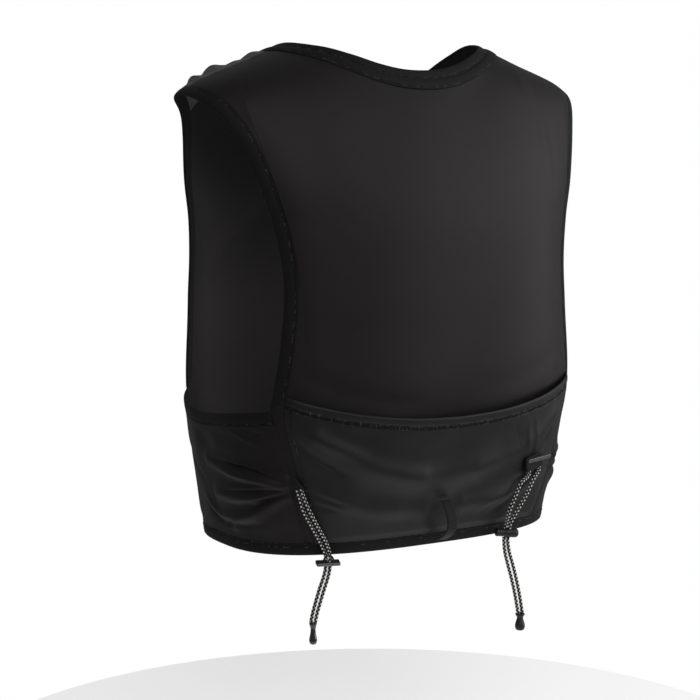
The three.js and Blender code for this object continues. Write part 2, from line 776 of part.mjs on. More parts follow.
// A turn and move that sets Z along the body's normal and Y up the body
function seatedAt(angle, height, lift) {
  const normal = bodyNormal([angle, height]);
  const aside = vector(0, 0, 1).cross(normal).normalize();
  const up = normal.clone().cross(aside);
  const seat = new THREE.Matrix4().makeBasis(aside, up, normal);
  return seat.setPosition(onBody([angle, height], lift));
}

// The angle that a length across the body takes up at a place
function angleOf(length, place) {
  const { x, y } = bodyPoint(place);
  return THREE.MathUtils.radToDeg(length / Math.hypot(x, y));
}

function addPoleLoop() {
  const fullness = 0.6; // under 1 makes the arch boxier
  const halfAngle = angleOf(poleLoopWidth / 2, [0, poleLoopTop]);
  const patch = (u, v) => [mix(-halfAngle, halfAngle, u), mix(poleLoopFoot, poleLoopTop, v)];
  const arch = (place, u, v) => {
    const rest = pocketLift(place) + clothWall + layerGap;
    return rest + poleLoopRise * Math.sin(Math.PI * v) ** fullness;
  };
  addMesh('pole_loop_center', clothShell(patch, {
    columns: 2, rows: 12, lift: arch, wall: even(strapWall), edgeGap: 0,
  }), 'webbing');
}

function cordAlong(points) {
  const sides = 8;
  const stepLength = 2.6 * cordWidth;
  const curve = new THREE.CatmullRomCurve3(points);
  const outline = new THREE.Shape(Array.from({ length: sides }, (_, i) => {
    const turn = (2 * Math.PI * i) / sides;
    return new THREE.Vector2(Math.cos(turn), Math.sin(turn)).multiplyScalar(cordWidth / 2);
  }));
  const steps = Math.max(Math.round(curve.getLength() / stepLength), 3);
  return new THREE.ExtrudeGeometry(outline, { steps, extrudePath: curve, bevelEnabled: false });
}

// The outermost face of the cloth at a place on the lower back or side
function clothTop(place, side) {
  const onPocket = Math.abs(place[0]) < pocketEdge(place[1]);
  return clothWall + (onPocket ? pocketLift(place) : sideFoldLifts[side](place));
}

// A cord anchor is a tab that lies on the cloth, clear of its highest fold
function anchorSeat(side) {
  const [angle, height] = anchorPlaces[side];
  const halfTurn = angleOf(anchorWidths[side] / 2, [angle, height]);
  const halfRise = anchorLength / 2 / bodyLength;
  const spots = [-1, 0, 1].flatMap((turn) => [-1, 0, 1].map((rise) => (
    clothTop([angle + turn * halfTurn, height + rise * halfRise], side))));
  return seatedAt(angle, height, Math.max(...spots) + meetGap);
}

const lockSeats = {
  left: seatedAt(barPlace.angle, barPlace.height, barPlace.lift),
  right: seatedAt(barrelPlace.angle, barrelPlace.height, barrelPlace.lift)
    .multiply(new THREE.Matrix4().makeRotationY(THREE.MathUtils.degToRad(barrelPlace.turn))),
};

// A round piece along Y from a profile, starting at the origin
function turned(profile, width, length) {
  const segments = 12;
  const points = profile.map(({ radius, along }) => (
    new THREE.Vector2((radius * width) / 2, along * length)));
  return new THREE.LatheGeometry(points, segments);
}

function addCordFittings() {
  for (const side of ['left', 'right']) {
    const anchor = roundedSlab(anchorWidths[side], anchorLength, anchorWall, anchorCorner);
    addMesh(`bungee_anchor_${side}`, anchor.applyMatrix4(anchorSeat(side)), 'binding');
    addStrands(side);
  }
  const bar = roundedSlab(barLength, barDepth, barWall, barCorner);
  bar.translate(0, 0, -barWall / 2);
  bar.rotateX(Math.PI / 2);
  addMesh('cord_lock_left', bar.applyMatrix4(lockSeats.left), 'plastic');

  const barrel = turned(barrelProfile, barrelWidth, barrelLength);
  barrel.translate(0, -barrelLength / 2, 0);
  barrel.rotateZ(-Math.PI / 2);
  addMesh('cord_lock_right', barrel.applyMatrix4(lockSeats.right), 'plastic');
}

// Two strands run from the anchor's lower edge to the top of the lock
function addStrands(side) {
  const halfLock = side === 'left' ? barWall / 2 : barrelWidth / 2;
  const seat = anchorSeat(side);
  for (const [strand, sign] of [['a', -1], ['b', 1]]) {
    const leave = (drop) => vector(
      (sign * anchorSpacings[side]) / 2,
      -anchorLength / 2 - meetGap - drop,
      anchorWall / 2,
    ).applyMatrix4(seat);
    const meet = (rise) => vector(
      (sign * strandSpacing) / 2,
      halfLock + meetGap + rise,
      0,
    ).applyMatrix4(lockSeats[side]);
    const name = `bungee_${side}_${strand}`;
    const points = [
      leave(0),
      leave(cordWidth),
      ...bungeeRoutes[name].map(([angle, height, lift]) => onBody([angle, height], lift)),
      meet(cordWidth),
      meet(0),
    ];
    addMesh(name, cordAlong(points), 'cord');
  }
}

function addTails() {
  for (const [name, route] of Object.entries(tailRoutes)) {
    addMesh(name, cordAlong(route.map((point) => vector(...point))), 'cord');
  }
  for (const side of ['left', 'right']) {
    const foot = (strand) => vector(...tailRoutes[`cord_tail_${side}_${strand}`].at(-1));
    const middle = foot('a').add(foot('b')).multiplyScalar(0.5);
    const drop = turned(cordEndProfile, endWidths[side], endLengths[side]);
    drop.rotateX(Math.PI / 2);
    drop.translate(middle.x, middle.y, middle.z - meetGap - endLengths[side]);
    addMesh(`cord_end_${side}`, drop, 'plastic');
  }
}

addBackPanel();
addSidePieces('left', (patch) => patch);
addSidePieces('right', mirrored);
addNeckBands();
addHemBand();
addPocket();
addPoleLoop();
for (const [level, height] of Object.entries(strapHeights)) {
  addSternumStrap(level, height);
}
addCordFittings();
addTails();

export default vest;
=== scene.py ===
"""Looks of the running hydration vest: sewn cloth, bindings, stitches, cords and their fittings."""

import math

import bpy
import numpy as np
from mathutils import Euler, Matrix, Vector


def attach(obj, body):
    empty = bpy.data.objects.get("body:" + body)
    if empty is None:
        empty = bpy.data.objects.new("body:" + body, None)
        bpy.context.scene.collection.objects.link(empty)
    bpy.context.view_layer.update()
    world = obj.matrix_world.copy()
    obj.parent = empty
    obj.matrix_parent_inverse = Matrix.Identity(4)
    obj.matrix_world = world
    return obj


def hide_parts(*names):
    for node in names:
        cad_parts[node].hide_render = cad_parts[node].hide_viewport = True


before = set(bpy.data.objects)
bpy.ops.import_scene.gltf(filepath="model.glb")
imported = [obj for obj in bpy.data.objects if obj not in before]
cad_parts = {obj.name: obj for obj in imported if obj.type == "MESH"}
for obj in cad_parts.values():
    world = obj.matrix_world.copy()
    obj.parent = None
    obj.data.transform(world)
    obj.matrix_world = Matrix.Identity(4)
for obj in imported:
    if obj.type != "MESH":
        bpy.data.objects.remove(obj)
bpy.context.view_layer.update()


def table(columns, *rows):
    """Rows of a table, each a dict by the names of its columns."""
    return [dict(zip(columns.split(), row)) for row in rows]


# Sizes as the part's source has them, in metres. The strap's angle is in degrees.
MM = 0.001
BODY_LENGTH = 393 * MM
CHEST_HALF_WIDTH = 165 * MM
BACK_DEPTH = 113 * MM
FRONT_DEPTH = 112 * MM
CLOTH_WALL = 1.2 * MM
FOLDED_WALL = 2.4 * MM
ARM_BINDING_WIDTH = 11.5 * MM
NECK_BAND_WIDTH = 9 * MM
NECK_LAYER_STEP = 0.9 * MM
HEM_BAND_WIDTH = 12 * MM
POCKET_HEM_WIDTH = 11 * MM
POCKET_MOUTH_OPEN = 11 * MM
POCKET_BAG_OPEN = 3 * MM
FRONT_OPENING = 30 * MM
SHOULDER_GATHER = 5.5 * MM
STRAP_WIDTH = 16 * MM
STRAP_WALL = 1.6 * MM
STRAP_OUTER_ANGLE = 146
POLE_LOOP_WIDTH = 10 * MM
POLE_LOOP_RISE = 16 * MM
CORD_WIDTH = 3 * MM
STRAND_SPACING = 3.4 * MM
ANCHOR_LENGTH = 13 * MM
ANCHOR_WIDTHS = {"left": 8 * MM, "right": 21 * MM}
ANCHOR_WALL = 3 * MM
BAR_LENGTH = 19.5 * MM
BAR_DEPTH = 9 * MM
BAR_WALL = 2.6 * MM
BARREL_LENGTH = 20 * MM
BARREL_WIDTH = 8 * MM
END_LENGTHS = {"left": 18 * MM, "right": 15 * MM}
END_WIDTHS = {"left": 6.6 * MM, "right": 8.6 * MM}
LAYER_GAP = 0.6 * MM
MEET_GAP = 0.3 * MM
BAND_SINK = (CLOTH_WALL - FOLDED_WALL) / 2
BAND_TOP = (CLOTH_WALL + FOLDED_WALL) / 2

# Sections of the body: shares of its length, half width and depths, and how square its outline is
SECTIONS = table(
    "height width back front square",
    (-1.05, 0.903, 0.76, 0.89, 2.7),
    (-1.0, 0.91, 0.779, 0.9, 2.7),
    (-0.87, 0.952, 0.885, 0.93, 2.8),
    (-0.687, 1.0, 0.991, 1.0, 2.9),
    (-0.501, 0.98, 1.0, 1.02, 2.9),
    (-0.407, 0.97, 0.99, 1.0, 2.9),
    (-0.318, 0.994, 0.968, 0.946, 2.85),
    (-0.247, 1.042, 0.925, 0.875, 2.8),
    (-0.183, 1.09, 0.865, 0.786, 2.65),
    (-0.13, 1.125, 0.798, 0.69, 2.5),
    (-0.0865, 1.147, 0.735, 0.6, 2.3),
    (-0.056, 1.122, 0.683, 0.54, 2.2),
    (-0.0305, 1.028, 0.637, 0.5, 2.15),
    (0.0204, 0.709, 0.54, 0.43, 2.15),
    (0.0458, 0.558, 0.487, 0.393, 2.15),
    (0.09, 0.4, 0.42, 0.35, 2.1),
)

# Lines on the body: an angle from the middle of the back towards the left side, and a height share
ARMHOLE_LINE = table(
    "angle height",
    (63.6, -0.692), (61.4, -0.61), (60.2, -0.53), (59.7, -0.455), (61.0, -0.375), (63.3, -0.3),
    (67.4, -0.205), (72.8, -0.13), (79.5, -0.08), (90, -0.058), (101, -0.085), (108, -0.145),
    (113, -0.235), (116.5, -0.34), (118, -0.455), (118.5, -0.575), (117, -0.692),
)
UNDERARM_LINE = table(
    "angle height",
    (63.6, -0.692), (72, -0.699), (83, -0.709), (95, -0.717), (106, -0.711), (117, -0.692),
)
BACK_SEAM_LINE = table(
    "angle height",
    (56.5, -1.0), (58.5, -0.885), (60.6, -0.775), (63.6, -0.692),
)
FRONT_SEAM_LINE = table(
    "angle height",
    (121, -1.0), (120, -0.885), (118.5, -0.775), (117, -0.692),
)
NECK_LINE = table(
    "angle height",
    (0, -0.0072), (16, -0.0045), (32, 0.0066), (48, 0.0245), (66, 0.041), (90, 0.048), (108, 0.026),
    (124, -0.022), (138, -0.082), (152, -0.138), (163, -0.177), (171, -0.1865), (180, -0.188),
)
POCKET_SIDE_LINE = table(
    "angle height",
    (54.2, -1.0), (56.2, -0.885), (58.2, -0.775), (59.4, -0.71), (58.6, -0.65),
)
POCKET_MOUTH_LINE = table(
    "angle height",
    (0, -0.711), (22, -0.706), (38, -0.694), (50, -0.676), (60, -0.656),
)
YOKE_NECK_SHARE = 0.2
YOKE_ARM_SHARE = 0.16
STRAP_HEIGHTS = {"upper": -0.37, "lower": -0.62}

# Puckers of the shoulder mesh: shares of the way from the neck to the arm, and of the gather
PUCKERS = {
    "left": table(
        "at width height",
        (0.1, 0.09, 0.55), (0.32, 0.08, 0.3), (0.56, 0.11, 1), (0.81, 0.07, 0.75),
    ),
    "right": table(
        "at width height",
        (0.12, 0.08, 0.4), (0.38, 0.12, 1), (0.63, 0.08, 0.6), (0.88, 0.06, 0.8),
    ),
}

# Folds run through three places. Heights and widths are shares of the back depth.
SIDE_FOLDS = table(
    "path height width",
    ([(92, -0.815), (76, -0.828), (61, -0.838)], 0.022, 0.055),
    ([(88, -0.885), (75, -0.87), (62, -0.852)], 0.024, 0.05),
    ([(80, -0.94), (70, -0.905), (61.5, -0.866)], 0.02, 0.05),
)
POCKET_FOLDS = table(
    "path height width",
    ([(50, -0.74), (38, -0.8), (16, -0.835)], 0.018, 0.08),
    ([(54, -0.85), (36, -0.9), (12, -0.91)], 0.02, 0.07),
)

# Places of the cord fittings: an angle, a height share, and metres off the body. Turns are in degrees.
ANCHOR_PLACES = {"left": (57.6, -0.84), "right": (-43.6, -0.838)}
ANCHOR_TURNS = {"left": 17, "right": 11}
ANCHOR_SPACINGS = {"left": 3.4 * MM, "right": 13 * MM}
LOCK_PLACES = {"left": (51.9, -1.01, 9 * MM), "right": (-38.6, -0.988, 11 * MM)}
LOCK_TURNS = {"left": 0, "right": -25}
POLE_LOOP_TOP = -0.895
POLE_LOOP_FOOT = -0.985

# Stretched strands: an angle, a height share, and millimetres off the body
BUNGEE_ROUTES = {
    "bungee_left_a": [(56.8, -0.892, 8.3), (55.0, -0.929, 8.8), (53.2, -0.967, 9)],
    "bungee_left_b": [(55.2, -0.892, 8.5), (53.4, -0.929, 9), (51.6, -0.967, 9.2)],
    "bungee_right_a": [(-38.2, -0.877, 11.5), (-36.5, -0.907, 12.5), (-35.8, -0.935, 12.5)],
    "bungee_right_b": [(-44.2, -0.875, 11), (-42.1, -0.905, 12.5), (-39.8, -0.936, 12.8)],
}

# Free tails of the cords, in metres, from the lock to the cord end
TAIL_ROUTES = {
    "cord_tail_left_a": [
        (0.1016, 0.0838, -0.3997), (0.1017, 0.0835, -0.403), (0.1031, 0.0821, -0.411),
        (0.1052, 0.0806, -0.4185), (0.107, 0.0793, -0.426), (0.1086, 0.0782, -0.433),
        (0.1102, 0.0771, -0.4405), (0.1114, 0.0764, -0.4479),
    ],
    "cord_tail_left_b": [
        (0.0984, 0.0849, -0.3997), (0.0984, 0.0846, -0.403), (0.0997, 0.0836, -0.411),
        (0.1018, 0.0825, -0.4185), (0.1038, 0.0814, -0.426), (0.1055, 0.0803, -0.433),
        (0.1072, 0.0791, -0.4405), (0.1084, 0.0782, -0.4479),
    ],
    "cord_tail_right_a": [
        (-0.0679, 0.0943, -0.3948), (-0.068, 0.094, -0.398), (-0.0693, 0.0938, -0.408),
        (-0.0724, 0.0938, -0.419), (-0.0758, 0.0939, -0.43), (-0.0788, 0.094, -0.441),
        (-0.0814, 0.094, -0.452), (-0.0836, 0.094, -0.4632),
    ],
    "cord_tail_right_b": [
        (-0.0711, 0.0952, -0.3951), (-0.0714, 0.0947, -0.398), (-0.0737, 0.0937, -0.408),
        (-0.0774, 0.0936, -0.419), (-0.0809, 0.0934, -0.43), (-0.0836, 0.0937, -0.441),
        (-0.086, 0.0939, -0.452), (-0.0879, 0.094, -0.4632),
    ],
}

# Cells of the stretches that panels and bands share, so that their seams run alike
ARM_CELLS = {"back": 12, "yoke": 4, "front": 12}
NECK_CELLS = {"front": 8, "yoke": 4, "back": 20}

# Fine creases in millimetres. A negative height is a valley.
POCKET_CREASES = table(
    "path height width",
    ([(58, -0.738), (52.8, -0.778), (43, -0.826)], -2.4, 3.0),
    ([(57, -0.715), (50, -0.748), (36, -0.79)], 2.2, 6),
    ([(56.2, -0.849), (51.7, -0.869), (44, -0.89)], -1.5, 2.0),
    ([(57, -0.868), (53.1, -0.886), (46.5, -0.9)], -1.3, 1.8),
    ([(56, -0.858), (50, -0.88), (44, -0.898)], 0.8, 2.4),
    ([(47, -0.77), (26, -0.832), (-11, -0.825), (-34, -0.765)], 3.8, 13),
    ([(26, -0.905), (-8, -0.892), (-30, -0.845)], -1.8, 11),
    ([(-36.4, -0.74), (-39.1, -0.8), (-41, -0.836)], 1.0, 2.2),
    ([(-39.4, -0.73), (-42.6, -0.793), (-44.4, -0.83)], 0.9, 2.0),
    ([(-50, -0.76), (-48, -0.8), (-46, -0.832)], -1.2, 2.4),
    ([(-20, -0.93), (-32, -0.9), (-41, -0.862)], 1.2, 4),
    ([(-26, -0.955), (-36, -0.92), (-43, -0.87)], -1.1, 3),
)
SIDE_CREASES = table(
    "path height width",
    ([(90, -0.812), (73, -0.82), (60, -0.84)], -3.6, 2.0),
    ([(88, -0.826), (73, -0.836), (60, -0.848)], 2.4, 2.8),
    ([(85, -0.876), (72.6, -0.866), (60, -0.853)], -3.4, 1.9),
    ([(83, -0.893), (72, -0.881), (62, -0.866)], 2.0, 2.8),
    ([(73, -0.905), (66.8, -0.88), (60, -0.861)], -3.2, 1.8),
    ([(77, -0.722), (71.3, -0.732), (66, -0.742)], -1.5, 1.6),
    ([(80, -0.735), (72.8, -0.752), (67, -0.764)], 0.9, 2.2),
    ([(99, -0.892), (89, -0.931), (72, -0.915)], 1.4, 3.2),
    ([(98, -0.908), (88, -0.945), (70, -0.934)], -1.4, 2.6),
    ([(112, -0.8), (104, -0.84), (95, -0.87)], -1.0, 3),
)
BACK_CREASES = table(
    "path height width",
    ([(81.5, -0.06), (78, -0.07), (74.5, -0.074)], -1.3, 1.8),
    ([(80, -0.082), (75.5, -0.09), (72, -0.092)], -0.8, 1.6),
    ([(-69, 0.005), (-59, -0.04), (-54, -0.12)], 0.7, 4),
    ([(-61, -0.03), (-56, -0.11), (-51, -0.22)], 0.8, 4),
    ([(-60, -0.06), (-58.5, -0.12), (-54, -0.24)], -0.7, 3),
    ([(58, -0.6), (40, -0.66), (10, -0.69)], -0.8, 8),
    ([(-56, -0.58), (-38, -0.64), (-8, -0.67)], -0.6, 9),
)

# How full a folded band is from its free edge (0) to its sewn edge (1)
BAND_PROFILE = table(
    "across full",
    (0, 0.78), (0.12, 0.96), (0.4, 1.0), (0.7, 0.9), (0.82, 0.74), (0.92, 0.84), (1, 0.72),
)

# The same for the pocket's mouth, which has two rows of stitches
MOUTH_PROFILE = table(
    "across full",
    (0, 0.8), (0.1, 1.0), (0.5, 0.98), (0.57, 0.72), (0.66, 0.86), (0.8, 0.86), (0.89, 0.7),
    (0.95, 0.84), (1, 0.66),
)

# Profiles of turned pieces: shares of the half width, and of the length
BARREL_PROFILE = [
    (0.7, 0), (0.84, 0.02), (0.88, 0.05), (0.88, 0.09), (0.78, 0.11), (0.78, 0.14), (0.88, 0.16),
    (0.88, 0.2), (0.78, 0.22), (0.78, 0.25), (0.88, 0.27), (0.88, 0.32), (0.8, 0.35), (0.82, 0.38),
    (1, 0.41), (1, 0.86), (0.96, 0.91), (0.85, 0.955), (0.66, 0.985), (0.4, 1),
]
CORD_END_PROFILES = {
    "left": [
        (0.35, 0), (0.7, 0.025), (0.9, 0.08), (1, 0.18), (0.93, 0.3), (0.76, 0.45), (0.64, 0.6),
        (0.62, 0.7), (0.72, 0.8), (0.87, 0.9), (0.95, 0.96), (0.93, 0.99), (0.8, 1),
    ],
    "right": [
        (0.35, 0), (0.68, 0.03), (0.88, 0.09), (1, 0.22), (0.98, 0.34), (0.86, 0.48), (0.7, 0.62),
        (0.62, 0.72), (0.66, 0.8), (0.85, 0.88), (0.95, 0.94), (0.93, 0.985), (0.8, 1),
    ],
}

# Small fittings, in metres
CLASP_SIZE = (26 * MM, 22 * MM, 6 * MM)
ANCHOR_BAR_SIZE = (23 * MM, 3.4 * MM, 2 * MM)
HOOK_REACH = 4.2 * MM
HOOK_RISE = 6 * MM

# How finely cords and round fittings are made
CORD_STEP = 1.5 * MM
CORD_SIDES = 16
HOOK_SIDES = 12
END_SIDES = 32
BARREL_SIDES = 40

# Rows of stitches, as shares of the way across a band
BAND_STITCHES = 0.8
HEM_STITCHES = (0.62, 0.84)
MOUTH_STITCHES = (0.11, 0.43)

# Threads, and the ladder of loose threads that runs across the mouth's two rows
STITCH_PITCH = 2.6 * MM
STITCH_LENGTH = 2 * MM
THREAD_RADIUS = 0.3 * MM
LADDER_PITCH = 3.4 * MM
LADDER_LENGTH = 0.36 * POCKET_HEM_WIDTH
LADDER_RADIUS = 0.5 * MM
LADDER_MIDDLE = 2.9 * MM
LADDER_REACH = 2 * MM
KNIT_DEPTH = 0.06 * MM

LAMPS = table(
    "name place size power",
    ("key_lamp", (-2.2, 1.4, 0.4), 2.4, 46),
    ("fill_lamp", (0.9, 2.6, 1.6), 1.8, 34),
)
LAMP_TARGET = (0, 0, -0.2)
FLOOR = dict(reach=0.4, height=-0.62, sides=96)


def mix(a, b, share):
    return a + (b - a) * share


def curve(b, c, start, end, t):
    """A cubic from b to c, which leaves and arrives along two slopes."""
    cubic = (2 * b - 2 * c + start + end) * t**3
    return cubic + (-3 * b + 3 * c - 2 * start - end) * t**2 + start * t + b


def lengths_along(points):
    """How far along a path each of its points is."""
    return np.concatenate([[0], np.cumsum(np.linalg.norm(np.diff(points, axis=0), axis=1))])


def columns_at(at, keys, values):
    """Every column of values, read at places between the keys."""
    return np.stack([np.interp(at, keys, column) for column in values.T], -1)


def read_table(rows, key, column, at):
    """Smooth values of one column, whose rows are in the order of the key column."""
    keys = np.array([row[key] for row in rows], float)
    values = np.array([row[column] for row in rows], float)
    after = np.minimum(np.arange(len(keys)) + 1, len(keys) - 1)
    before = np.maximum(np.arange(len(keys)) - 1, 0)
    slopes = (values[after] - values[before]) / (keys[after] - keys[before])
    inside = np.clip(at, keys[0], keys[-1])
    low = np.clip(np.searchsorted(keys, inside, "right") - 1, 0, len(keys) - 2)
    span = keys[low + 1] - keys[low]
    t = (inside - keys[low]) / span
    ease = t * t * (3 - 2 * t)
    bend = span * t * (1 - t) * (slopes[low] * (1 - t) - slopes[low + 1] * t)
    return mix(values[low], values[low + 1], ease) + bend


def place(angle, height):
    return np.stack(np.broadcast_arrays(np.asarray(angle, float), np.asarray(height, float)), -1)


def unit(vectors):
    return vectors / np.linalg.norm(vectors, axis=-1, keepdims=True)


def body_points(places):
    """Points on the body, a superellipse round Z at each height."""
    angle, height = places[..., 0], places[..., 1]
    turn = np.radians(angle)
    width, back, front, power = (
        read_table(SECTIONS, "height", column, height) for column in ("width", "back", "front", "square")
    )
    depth = np.where(np.cos(turn) > 0, back * BACK_DEPTH, front * FRONT_DEPTH)
    wide = (np.abs(np.sin(turn)) / (width * CHEST_HALF_WIDTH)) ** power
    deep = (np.abs(np.cos(turn)) / depth) ** power
    reach = (wide + deep) ** (-1 / power)
    return np.stack([reach * np.sin(turn), reach * np.cos(turn), height * BODY_LENGTH], -1)


def body_slopes(places):
    turn, rise = np.array([0.25, 0]), np.array([0, 0.001])
    aside = (body_points(places + turn) - body_points(places - turn)) / (2 * turn[0])
    up = (body_points(places + rise) - body_points(places - rise)) / (2 * rise[1])
    return aside, up


def body_normals(places):
    aside, up = body_slopes(places)
    return unit(np.cross(up, aside))


def on_body(places, lift):
    return body_points(places) + body_normals(places) * np.asarray(lift)[..., None]


def nearest_places(targets, start):
    """The places on the body nearest to points, from starts near them."""
    places = start.copy()
    for _ in range(6):
        aside, up = body_slopes(places)
        miss = targets - body_points(places)
        cross = (aside * up).sum(-1)
        aside_size, up_size = (aside**2).sum(-1), (up**2).sum(-1)
        size = aside_size * up_size - cross**2
        along, rising = (miss * aside).sum(-1), (miss * up).sum(-1)
        turn = (along * up_size - rising * cross) / size
        rise = (rising * aside_size - along * cross) / size
        places = places + np.stack([turn, rise], -1)
    return places


def line_through(rows):
    """A line through a table's places, as a function of the share of its length."""
    degrees_per_share = 160
    steps = 40
    points = np.array([(row["angle"] / degrees_per_share, row["height"]) for row in rows])
    padded = np.vstack([points[0], points, points[-1]])
    t = np.linspace(0, 1, steps, endpoint=False)[:, None]
    fine = []
    for a, b, c, d in zip(padded, padded[1:], padded[2:], padded[3:]):
        fine.append(curve(b, c, (c - a) / 2, (d - b) / 2, t))
    fine = np.vstack(fine + [points[-1:]])
    lengths = lengths_along(fine)
    return lambda share: columns_at(share, lengths / lengths[-1], fine) * [degrees_per_share, 1]


def straight_line(start, end):
    return lambda share: mix(np.asarray(start), np.asarray(end), np.asarray(share, float)[..., None])


def part_of(line, start, end):
    return lambda share: line(mix(start, end, np.asarray(share, float)))


def other_side(line):
    return lambda *shares: line(*shares) * [-1, 1]


def mirrored(patch):
    return lambda u, v: patch(1 - u, v) * [-1, 1]


SIDES = {"left": lambda patch: patch, "right": mirrored}


def beside(line, share, distance):
    """Places at a distance to the right of a line, as someone walking it on the body sees it."""
    step = 0.004
    here = line(share)
    ahead = unit(body_points(line(share + step)) - body_points(line(share - step)))
    aside = np.cross(ahead, body_normals(here))
    targets = body_points(here) + aside * np.asarray(distance)[..., None]
    return nearest_places(targets, here)


def band_beside(line, near, far, cut_back=0.0):
    """A band beside a line. Its ends may be cut back by a share."""
    return lambda u, v: beside(line, mix(cut_back * v, 1 - cut_back * v, u), mix(near, far, v))


def joined(parts):
    """Lines joined end to end, with a number of cells for each."""
    total = sum(cells for _, cells in parts)

    def line(share):
        rest = np.asarray(share, float) * total
        places = parts[0][0](rest / parts[0][1])
        start = parts[0][1]
        for part, cells in parts[1:]:
            beyond = (rest > start)[..., None]
            places = np.where(beyond, part((rest - start) / cells), places)
            start += cells
        return places

    return line


def patch_between(left, right, bottom, top):
    """A patch between four lines: u runs from left to right, and v from bottom to top."""
    zero, one = np.zeros(()), np.ones(())

    def patch(u, v):
        across, rise = u[..., None], v[..., None]
        sides = mix(left(v), right(v), across)
        ends = mix(bottom(u), top(u), rise)
        foot = mix(left(zero), right(zero), across)
        head = mix(left(one), right(one), across)
        return sides + ends - mix(foot, head, rise)

    return patch


def share_where(line, column, value, start=0.0, end=1.0):
    """The share of a line at which its angle (column 0) or height (column 1) comes to a value."""
    rising = line(end)[column] > line(start)[column]
    low, high = start, end
    for _ in range(30):
        middle = (low + high) / 2
        if (line(middle)[column] < value) == rising:
            low = middle
        else:
            high = middle
    return (low + high) / 2


def length_on(line):
    return lengths_along(body_points(line(np.linspace(0, 1, 200))))[-1]


# Lines and patches of the vest, as in the part's source
HEM_TOP = -1 + HEM_BAND_WIDTH / BODY_LENGTH
armhole = line_through(ARMHOLE_LINE)
back_seam = line_through(BACK_SEAM_LINE)
front_seam = line_through(FRONT_SEAM_LINE)
neck_free = line_through(NECK_LINE[::-1] + [{**row, "angle": -row["angle"]} for row in NECK_LINE[1:]])


def opening(height):
    """The angle of the fronts' free edges, which stay a fixed way apart."""
    reach = body_points(place(180.0, height))[..., 1]
    return 180 - np.degrees(np.arctan2(FRONT_OPENING / 2, -reach))


arm_cut_back = ARM_BINDING_WIDTH / length_on(armhole)
arm_binding = band_beside(armhole, 0, ARM_BINDING_WIDTH, arm_cut_back)
neck_start = share_where(neck_free, 0, opening(NECK_LINE[-1]["height"]), 0, 0.2)
neck_edge = part_of(neck_free, neck_start, 1 - neck_start)


def arm_stitch(share):
    return arm_binding(share, 1)


def neck_stitch(share):
    return beside(neck_edge, share, 2 * NECK_BAND_WIDTH)


arm_ridge = share_where(arm_stitch, 0, 90, 0.2, 0.8)
neck_ridge = share_where(neck_stitch, 0, 90, 0, 0.5)
ridge = straight_line(arm_stitch(arm_ridge), neck_stitch(neck_ridge))
yoke_arm = mix(arm_ridge, 1, YOKE_ARM_SHARE)
yoke_neck = mix(neck_ridge, 0, YOKE_NECK_SHARE)
yoke_foot = straight_line(neck_stitch(yoke_neck), arm_stitch(yoke_arm))
binding_end = straight_line(armhole(0), arm_stitch(0))
front_binding_end = straight_line(armhole(1), arm_stitch(1))


def above_hem(seam):
    return part_of(seam, share_where(seam, 1, HEM_TOP), 1)


def back_patch():
    ridge_cells, seam_cells, end_cells = 6, 6, 1
    side = joined([
        (above_hem(back_seam), seam_cells),
        (binding_end, end_cells),
        (part_of(arm_stitch, 0, arm_ridge), ARM_CELLS["back"]),
    ])
    hem_angle = side(0)[0]
    return patch_between(
        left=other_side(side),
        right=side,
        bottom=straight_line((-hem_angle, HEM_TOP), (hem_angle, HEM_TOP)),
        top=joined([
            (other_side(ridge), ridge_cells),
            (part_of(neck_stitch, 1 - neck_ridge, neck_ridge), NECK_CELLS["back"]),
            (part_of(ridge, 1, 0), ridge_cells),
        ]),
    )


def front_patch():
    seam_cells, end_cells = 5, 1
    rows = seam_cells + end_cells + ARM_CELLS["front"]
    side = joined([
        (above_hem(front_seam), seam_cells),
        (front_binding_end, end_cells),
        (part_of(arm_stitch, 1, yoke_arm), ARM_CELLS["front"]),
    ])
    corner = neck_stitch(0)
    miss = corner[0] - opening(corner[1])

    def opening_edge(share):
        share = np.asarray(share, float)
        height = mix(HEM_TOP, corner[1], share)
        return place(opening(height) + miss * share**4, height)

    middle = joined([
        (opening_edge, rows - NECK_CELLS["front"]),
        (part_of(neck_stitch, 0, yoke_neck), NECK_CELLS["front"]),
    ])
    return patch_between(
        left=side,
        right=middle,
        bottom=straight_line(side(0), middle(0)),
        top=part_of(yoke_foot, 1, 0),
    )


def yoke_patch():
    return patch_between(
        left=part_of(neck_stitch, yoke_neck, neck_ridge),
        right=part_of(arm_stitch, yoke_arm, arm_ridge),
        bottom=yoke_foot,
        top=part_of(ridge, 1, 0),
    )


def angle_on(seam, height):
    """The angle of a seam at heights."""
    places = seam(np.linspace(0, 1, 400))
    return np.interp(height, places[:, 1], places[:, 0])


def under_height(u):
    angle = mix(UNDERARM_LINE[0]["angle"], UNDERARM_LINE[-1]["angle"], u)
    return read_table(UNDERARM_LINE, "angle", "height", angle)


def under_stitch(u):
    return under_height(u) - ARM_BINDING_WIDTH / BODY_LENGTH


def side_patch(low, high):
    """A stretch of the side between the seams, from one height to another."""
    def patch(u, v):
        height = mix(low(u), high(u), v)
        return place(mix(angle_on(back_seam, height), angle_on(front_seam, height), u), height)

    return patch


def at_hem(u):
    return HEM_TOP


def hem_patch(u, v):
    height = mix(-1, HEM_TOP, v)
    end = opening(height)
    return place(mix(-end, end, u), height)


def mouth_height(angle):
    return read_table(POCKET_MOUTH_LINE, "angle", "height", np.abs(angle))


def pocket_edge(height):
    return read_table(POCKET_SIDE_LINE, "height", "angle", height)


def pocket_mouth(u):
    return mouth_height((2 * u - 1) * pocket_edge(POCKET_MOUTH_LINE[-1]["height"]))


def pocket_hem_foot(u):
    return pocket_mouth(u) - POCKET_HEM_WIDTH / BODY_LENGTH


